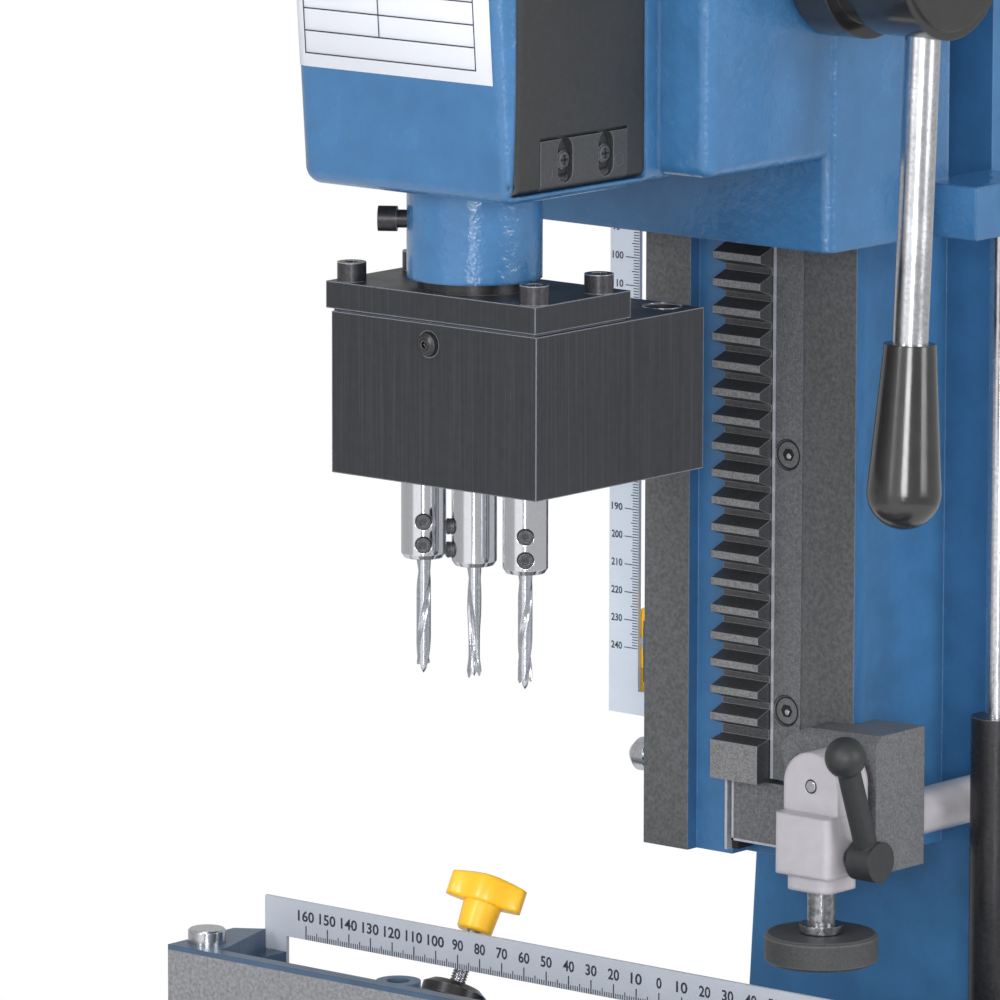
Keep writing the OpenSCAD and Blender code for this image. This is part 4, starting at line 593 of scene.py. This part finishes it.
# Brad-point bits with one broad and one fine flute each
BIT_LOW, BIT_HIGH, BIT_RADIUS, BIT_TIP = -68.0, -28.0, 2.4, 3.2
BIT_STEPS, BIT_AROUND = 90, 64
SPUR_OUT, SPUR_TOP = 2.3, -64.0
SHANK_RADIUS, SHANK_LOW, SHANK_HIGH = 2.5, -28.8, -22
LONG_POINT = [(1.5, -63.5), (1.1, -65.2), (0.9, -66.6), (0, -68)]
SHORT_POINT = [(1.4, -63.5), (1.0, -64.6), (0.5, -65.4), (0, -66.4)]


def soft_step(v):
    """0 well below v = 0, 1 well above it."""
    return 1 / (1 + math.exp(-v))


def spur_ring(x, z, outward, wide, thick):
    """Four corners of a spur's section at a height; outward is a level direction from the bit's axis."""
    along = Vector((-outward.y, outward.x, 0))
    corners = ((0, -1), (0, 1), (1, 1), (1, -1))
    return [mm(x, 0, z) + (outward * (SPUR_OUT - thick * u) + along * wide * v) / 1000 for u, v in corners]


def bit(node, x, body, hand, pitch, start, spurred):
    """Replaces a bit: turned shank, helical flutes, brad point and spurs.

    hand is the way the flutes turn, pitch their length of one turn and start their angle at the shank. A flute
    is its place round the bit, its depth as a share of the radius, and its half width in radians.
    """
    broad, fine = (0, 0.4, 0.62), (math.pi, 0.14, 0.4)
    rings = []
    for k in range(BIT_STEPS + 1):
        z = BIT_HIGH + (BIT_LOW + BIT_TIP - BIT_HIGH) * k / BIT_STEPS
        depth = min(1.0, max(0.0, (BIT_HIGH - 1.5 - z) / 6.0))
        turn = math.radians(start) + hand * 2 * math.pi * (BIT_HIGH - z) / pitch
        radius = BIT_RADIUS
        if spurred:
            radius *= 1.0 - 0.22 * soft_step((-48.0 - z) / 2.0) * soft_step((z + 62.0) / 0.8)
        ring = []
        for i in range(BIT_AROUND):
            a = 2 * math.pi * i / BIT_AROUND
            q = radius
            for place, cut, half in (broad, fine):
                off = (a - turn - place + math.pi) % (2 * math.pi) - math.pi
                q -= radius * depth * cut * math.exp(-(off / half) ** 6)
            ring.append(mm(x + q * math.cos(a), q * math.sin(a), z))
        rings.append(ring)
    o = loft(node + "_looks", rings, bit_steel, body)
    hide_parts(node)
    point = SHORT_POINT if spurred else LONG_POINT
    lathe(node + "_point", mm(x, 0, 0), (0, 0, 1), point, bit_steel, body, 12)
    spur_low = -66.6 if spurred else -65.6
    for s in (0, 1):
        a = math.radians(start + 90 + 180 * s) + hand * 2 * math.pi * (BIT_HIGH - BIT_LOW - 3) / pitch
        outward = Vector((math.cos(a), math.sin(a), 0))
        spur = [spur_ring(x, SPUR_TOP, outward, 1.1, 0.9), spur_ring(x, spur_low, outward, 0.25, 0.25)]
        loft(f"{node}_spur_{s}", spur, bit_steel, body, smooth=False)
    shank = [(0, SHANK_LOW), (SHANK_RADIUS, SHANK_LOW), (SHANK_RADIUS, SHANK_HIGH), (0, SHANK_HIGH)]
    lathe(node + "_shank", mm(x, 0, 0), (0, 0, 1), shank, bit_steel, body, 32)


bit("left_bit", -SPINDLE_PITCH, "left_drill", -1, 58, 255, False)
bit("middle_bit", 0, "drive", 1, 90, 200, True)
bit("right_bit", SPINDLE_PITCH, "right_drill", -1, 52, 240, False)

# Head: hinge leaf screws with cross slots drawn as dark marks of painted shade, embossed rings and the rim of
# the lid's hole
LEAF_FACE = HOUSING_SIDE - 0.8
LEAF_SCREW_Z = 110.9
LEAF_SCREW_YS = (-7.6, 13.2)
SLOT_LONG, SLOT_WIDE = 1.7, 0.32
for side, body in ((1, "right_door"), (-1, "left_door")):
    node = "right" if side > 0 else "left"
    bm = bmesh.new()
    for y in LEAF_SCREW_YS:
        lathe_bm(bm, mm(side * (LEAF_FACE - 2.0), y, LEAF_SCREW_Z), (side, 0, 0),
                 [(0, -3), (1.6, -3), (1.6, 0), (3.15, 0.3), (3.1, 1.0), (2.3, 1.6), (0, 1.8)], 32)
    o = mesh_obj(node + "_cross_screws", bm, leaf_screw, body)
    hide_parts(node + "_leaf_screws")
    # Dark marks of painted shade where the cross slots are
    slots = []
    x0, x1 = sorted((side * (LEAF_FACE - 1.2), side * (LEAF_FACE - 0.13)))
    for y in LEAF_SCREW_YS:
        for dy, dz in ((SLOT_LONG, SLOT_WIDE), (SLOT_WIDE, SLOT_LONG)):
            slots.append(((x0, y - dy, LEAF_SCREW_Z - dz), (x1, y + dy, LEAF_SCREW_Z + dz)))
    boxes(node + "_screw_slot_shade", slots, dark_gap, body)
    bm = bmesh.new()
    for y, z in ((-16.2, 107.5), (20.0, 108.2)):
        ring_bm(bm, mm(side * (LEAF_FACE - 0.08), y, z), (side, 0, 0), 2.2, 0.22)
    mesh_obj(node + "_leaf_rings", bm, black_oxide, body)
bm = bmesh.new()
ring_bm(bm, mm(32.5, 58, 54.05), (0, 0, 1), 6.5, 0.6, 48)
mesh_obj("hole_rim", bm, zinc, "head")

# Ways: painted highlight on the strip's chamfer, thin strip, a dark slot floor of painted shade, and painted
# highlights along the panel's edges below the rack
WAYS_LOW, RACK_LOW, PANEL_LOW, PANEL_LEFT = -150.2, -124, -146.3, -6.5
STRIP_FACE = 145.32
boxes("strip_chamfer_highlight", [((10.35, 145.05, -122.4), (11.5, 146.2, 232))], pale_edge, "frame")
boxes("thin_strip", [((-10.4, 146.2, WAYS_LOW), (-9.3, 150, RACK_LOW))], pale_edge, "frame")
boxes("slot_painted_shade", [((-9.3, 149, WAYS_LOW), (PANEL_LEFT, 157, RACK_LOW))], dark_gap, "frame")
upright = ((PANEL_LEFT, 145.1, PANEL_LOW), (PANEL_LEFT + 0.9, STRIP_FACE, RACK_LOW - 0.2))
level_edge = ((PANEL_LEFT, 145.1, PANEL_LOW), (46, STRIP_FACE, PANEL_LOW + 0.8))
boxes("panel_edge_highlights", [upright, level_edge], pale_edge, "frame")

STRIP_SCREW_X, STRIP_SCREW_LOW, STRIP_SCREW_PITCH = 17.2, -98, 89
# Strip screws: a dark ring round each head, a dark disc of painted shade in the hex socket, and a small zinc
# disc in it as a painted glint
for k in range(4):
    at = mm(STRIP_SCREW_X, STRIP_FACE, STRIP_SCREW_LOW + STRIP_SCREW_PITCH * k)
    bm = bmesh.new()
    ring_bm(bm, at + Vector((0, 0.00005, 0)), (0, -1, 0), 4.75, 0.55, 48)
    mesh_obj(f"strip_ring_{k}", bm, dark_gap, "frame")
    lathe(f"strip_socket_shade_{k}", at, (0, -1, 0), [(0, 0.12), (2.3, 0.12), (2.3, -0.4), (0, -0.4)],
          dark_gap, "frame", 6)
    lathe(f"strip_glint_{k}", at + Vector((0.0002, 0, -0.0004)), (0, -1, 0),
          [(0, 0.16), (1.0, 0.16), (1.0, -0.2), (0, -0.2)], zinc, "frame", 16)

# Ruler: marks every millimetre from 160 on the left, through 0, to 160 on the right
RULER_Y, RULER_LOW, RULER_ZERO, RULER_REACH = 91.95, -194.4, 4.75, 160
bm = bmesh.new()
for mark in range(-RULER_REACH, RULER_REACH + 1):
    tall, wide = (5.0, 0.5) if mark % 10 == 0 else (2.9, 0.4) if mark % 5 == 0 else (1.9, 0.38)
    at = mark + RULER_ZERO
    plate_bm(bm, at - wide / 2, at + wide / 2, RULER_Y, RULER_LOW + 0.1, RULER_LOW + tall)
    if mark % 10 == 0:
        word = str(abs(mark))
        digits_bm(bm, word, mm(at, RULER_Y, RULER_LOW + 6.4), 3.95, 2.6 * len(word) - 0.25)
mesh_obj("ruler_print", bm, ink, "table", smooth=False)

# Depth scale: marks on its left part, figures at each centimetre
SCALE_Y, SCALE_EDGE, SCALE_FIGURES, SCALE_ZERO, SCALE_REACH = 199.55, -92.9, -105.2, 141.9, 240
bm = bmesh.new()
for mark in range(SCALE_REACH + 1):
    z = SCALE_ZERO - mark
    long = 6.3 if mark % 10 == 0 else 3.5 if mark % 5 == 0 else 2.7
    plate_bm(bm, SCALE_EDGE - long, SCALE_EDGE - 0.15, SCALE_Y, z - 0.17, z + 0.17)
    if mark % 10 == 0:
        word = str(mark)
        wide = 1.7 * len(word) - 0.15
        digits_bm(bm, word, mm(SCALE_FIGURES + wide / 2, SCALE_Y, z - 1.0), 2.7, wide)
mesh_obj("scale_print", bm, ink, "frame", smooth=False)

# Hold-down: bright cross pin in a dark ring
CLAMP_PIN = mm(54.4, 111.7, -114.05)
PIN_RADIUS, RING_RADIUS = 2.05, 2.45
lathe("clamp_pin", CLAMP_PIN, (0, -1, 0),
      [(0, -16), (PIN_RADIUS, -16), (PIN_RADIUS, 0.1), (1.9, 0.3), (1.2, 0.35), (0, 0.35)],
      zinc, "clamp_arm", 28)
lathe("clamp_pin_ring", CLAMP_PIN, (0, -1, 0),
      [(PIN_RADIUS, -0.3), (RING_RADIUS, -0.3), (RING_RADIUS, 0.04), (PIN_RADIUS, 0.04), (PIN_RADIUS, -0.3)],
      dark_gap, "clamp_arm", 28)

# Yellow wing knobs of the fence and the depth stop: arched wing, round stem, zinc screw
TILT = math.radians(28)
STOP_AXIS = Vector((0, math.sin(TILT), math.cos(TILT)))
STOP_SEAT = mm(-91.5, 100, -200) + STOP_AXIS * 0.017
DEPTH_AXIS = Vector((0, 1, 0))
DEPTH_SEAT = mm(-88.1, 201.4, -94.6)
WING_END = 3.2


def signed_power(v, exponent):
    """A squared-off sine or cosine."""
    return math.copysign(abs(v) ** exponent, v)


def wing_knob(node, seat, axis, turn, stem, hub, wing, height):
    """Replaces a knob by an arched wing on a round stem, widest at the hub and round at its ends.

    turn is in degrees; the stem's height, the hub's and wing's widths and the wing's height are in millimetres.
    """
    m = axis_matrix(seat, axis) @ Matrix.Rotation(math.radians(turn), 4, "Z")
    stations, around = 29, 28
    rings = []
    for k in range(stations):
        u = -1 + 2 * k / (stations - 1)
        half = wing / 2 * math.sin(u * math.pi / 2)
        v = abs(half) / (wing / 2)
        width = (hub / 2 - WING_END) * math.exp(-(v / 0.5) ** 2.2) + WING_END
        width *= math.sqrt(max(0.0, 1 - max(0.0, (v - 0.86) / 0.14) ** 2 * 0.93))
        top = height - 1.7 * v * v
        low = 0.9 * v
        ring = []
        for i in range(around):
            a = 2 * math.pi * i / around
            y = width * signed_power(math.cos(a), 0.35)
            z = (top + low) / 2 + (top - low) / 2 * signed_power(math.sin(a), 0.35)
            ring.append(m @ (Vector((half, y, stem + z)) / 1000))
        rings.append(ring)
    o = loft(node + "_looks", rings, yellow, node)
    lathe(node + "_looks_stem", seat, axis,
          [(0, 0), (hub / 2 - 1.4, 0), (hub / 2 - 0.6, 0.8), (hub / 2, stem + 1), (0, stem + 1)],
          yellow, node, 48)
    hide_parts(node)


wing_knob("stop_knob", STOP_SEAT, STOP_AXIS, 32, 9.5, 13.8, 27, 11)
STOP_THREAD, STOP_CREST, STOP_ROOT = 30, 2.95, 2.35
thread = []
for k in range(STOP_THREAD):
    thread += [(STOP_CREST, k - STOP_THREAD), (STOP_ROOT, k - STOP_THREAD + 0.5)]
lathe("stop_knob_thread", STOP_SEAT, STOP_AXIS, [(0, -STOP_THREAD)] + thread + [(2.9, 0.2), (0, 0.2)],
      zinc, "stop_knob", 28)
wing_knob("depth_knob", DEPTH_SEAT, DEPTH_AXIS, 118, 4, 25, 53.6, 10)
lathe("depth_knob_screw", DEPTH_SEAT, DEPTH_AXIS, [(0, -5), (1.9, -5), (1.9, 0.2), (0, 0.2)],
      zinc, "depth_knob", 28)

# World: white to the camera, even light for matt surfaces, a studio for what polished metal reflects
world = bpy.data.worlds.new("world")
bpy.context.scene.world = world
world.use_nodes = True
sky = world.node_tree
sky.nodes.clear()


def background(strength):
    node = sky.nodes.new("ShaderNodeBackground")
    node.inputs["Color"].default_value = (1, 1, 1, 1)
    node.inputs["Strength"].default_value = strength
    return node


def choose(fac, first, second):
    """The first shader where fac is 0, the second where it is 1."""
    mix = sky.nodes.new("ShaderNodeMixShader")
    sky.links.new(fac, mix.inputs[0])
    sky.links.new(first.outputs[0], mix.inputs[1])
    sky.links.new(second.outputs[0], mix.inputs[2])
    return mix


def studio_bands(colour_input):
    """Bright and dark upright panels round the machine, by angle from the camera."""
    direction = sky.nodes.new("ShaderNodeTexCoord").outputs["Generated"]
    parts = []
    for axis in (camera_right, camera_back):
        dot = sky.nodes.new("ShaderNodeVectorMath")
        dot.operation = "DOT_PRODUCT"
        sky.links.new(direction, dot.inputs[0])
        dot.inputs[1].default_value = (axis.x, axis.y, 0)
        parts.append(dot.outputs["Value"])
    angle = sky.nodes.new("ShaderNodeMath")
    angle.operation = "ARCTAN2"
    sky.links.new(parts[0], angle.inputs[0])
    sky.links.new(parts[1], angle.inputs[1])
    place = sky.nodes.new("ShaderNodeMapRange")
    place.inputs["From Min"].default_value, place.inputs["From Max"].default_value = -math.pi, math.pi
    sky.links.new(angle.outputs[0], place.inputs["Value"])
    ramp = sky.nodes.new("ShaderNodeValToRGB")
    panels = ((-180, 0.5), (-95, 0.45), (-60, 0.5), (-52, 0.95), (-16, 1.0), (-12, 0.3), (-6, 0.12),
              (-1, 0.5), (3, 1.0), (24, 0.95), (30, 0.35), (36, 0.05), (62, 0.06), (68, 0.4), (90, 0.5),
              (125, 0.5), (180, 0.5))
    for k, (degrees, value) in enumerate(panels):
        stop = ramp.color_ramp.elements[k] if k < 2 else ramp.color_ramp.elements.new(0.5)
        stop.position = degrees / 360 + 0.5
        stop.color = (value, value, value, 1)
    sky.links.new(place.outputs["Result"], ramp.inputs[0])
    sky.links.new(ramp.outputs["Color"], colour_input)


rays = sky.nodes.new("ShaderNodeLightPath")
studio = background(1.15)
studio_bands(studio.inputs["Color"])
lit = choose(rays.outputs["Is Glossy Ray"], background(0.72), studio)
seen = choose(rays.outputs["Is Camera Ray"], lit, background(1.0))
sky.links.new(seen.outputs[0], sky.nodes.new("ShaderNodeOutputWorld").inputs[0])


def area(name, at, power, width, height):
    """A lamp that faces the middle of the machine's head; places and sizes in metres, power in watts."""
    lamp = bpy.data.lights.new(name, "AREA")
    lamp.energy, lamp.shape, lamp.size, lamp.size_y = power, "RECTANGLE", width, height
    o = bpy.data.objects.new(name, lamp)
    bpy.context.scene.collection.objects.link(o)
    o.location = at
    o.rotation_mode = "QUATERNION"
    o.rotation_quaternion = (LIT_POINT - Vector(at)).to_track_quat("-Z", "Y")


LIT_POINT = Vector((0, -0.15, 1.15))
area("front", (2.3, -3.0, 1.75), 62, 1.1, 1.1)
area("key", (-0.2, -3.2, 2.3), 34, 0.35, 1.6)
area("side", (3.0, 0.5, 1.8), 36, 1.2, 1.4)
area("top", (0.2, -0.9, 4.0), 12, 1.6, 1.6)
area("glint", (1.75, -2.5, 0.62), 5, 0.2, 0.8)

# Floor: a round disc that belongs to the stage
FLOOR_RADIUS = 2.2
bm = bmesh.new()
bmesh.ops.create_circle(bm, cap_ends=True, radius=FLOOR_RADIUS, segments=128)
me = bpy.data.meshes.new("floor")
bm.to_mesh(me)
bm.free()
floor = bpy.data.objects.new("floor", me)
floor_paint = Mat("floor_paint", (0.8, 0.8, 0.8, 1), dark=0.99, light=1.01, patch=2, rough=(0.6, 0.7),
                  bump=(), edge=0)
floor.data.materials.append(floor_paint.m)
bpy.context.scene.collection.objects.link(floor)

# Render settings
scene = bpy.context.scene
scene.view_settings.view_transform = "Standard"
scene.view_settings.look = "None"
scene.cycles.max_bounces = 8
scene.render.film_transparent = False
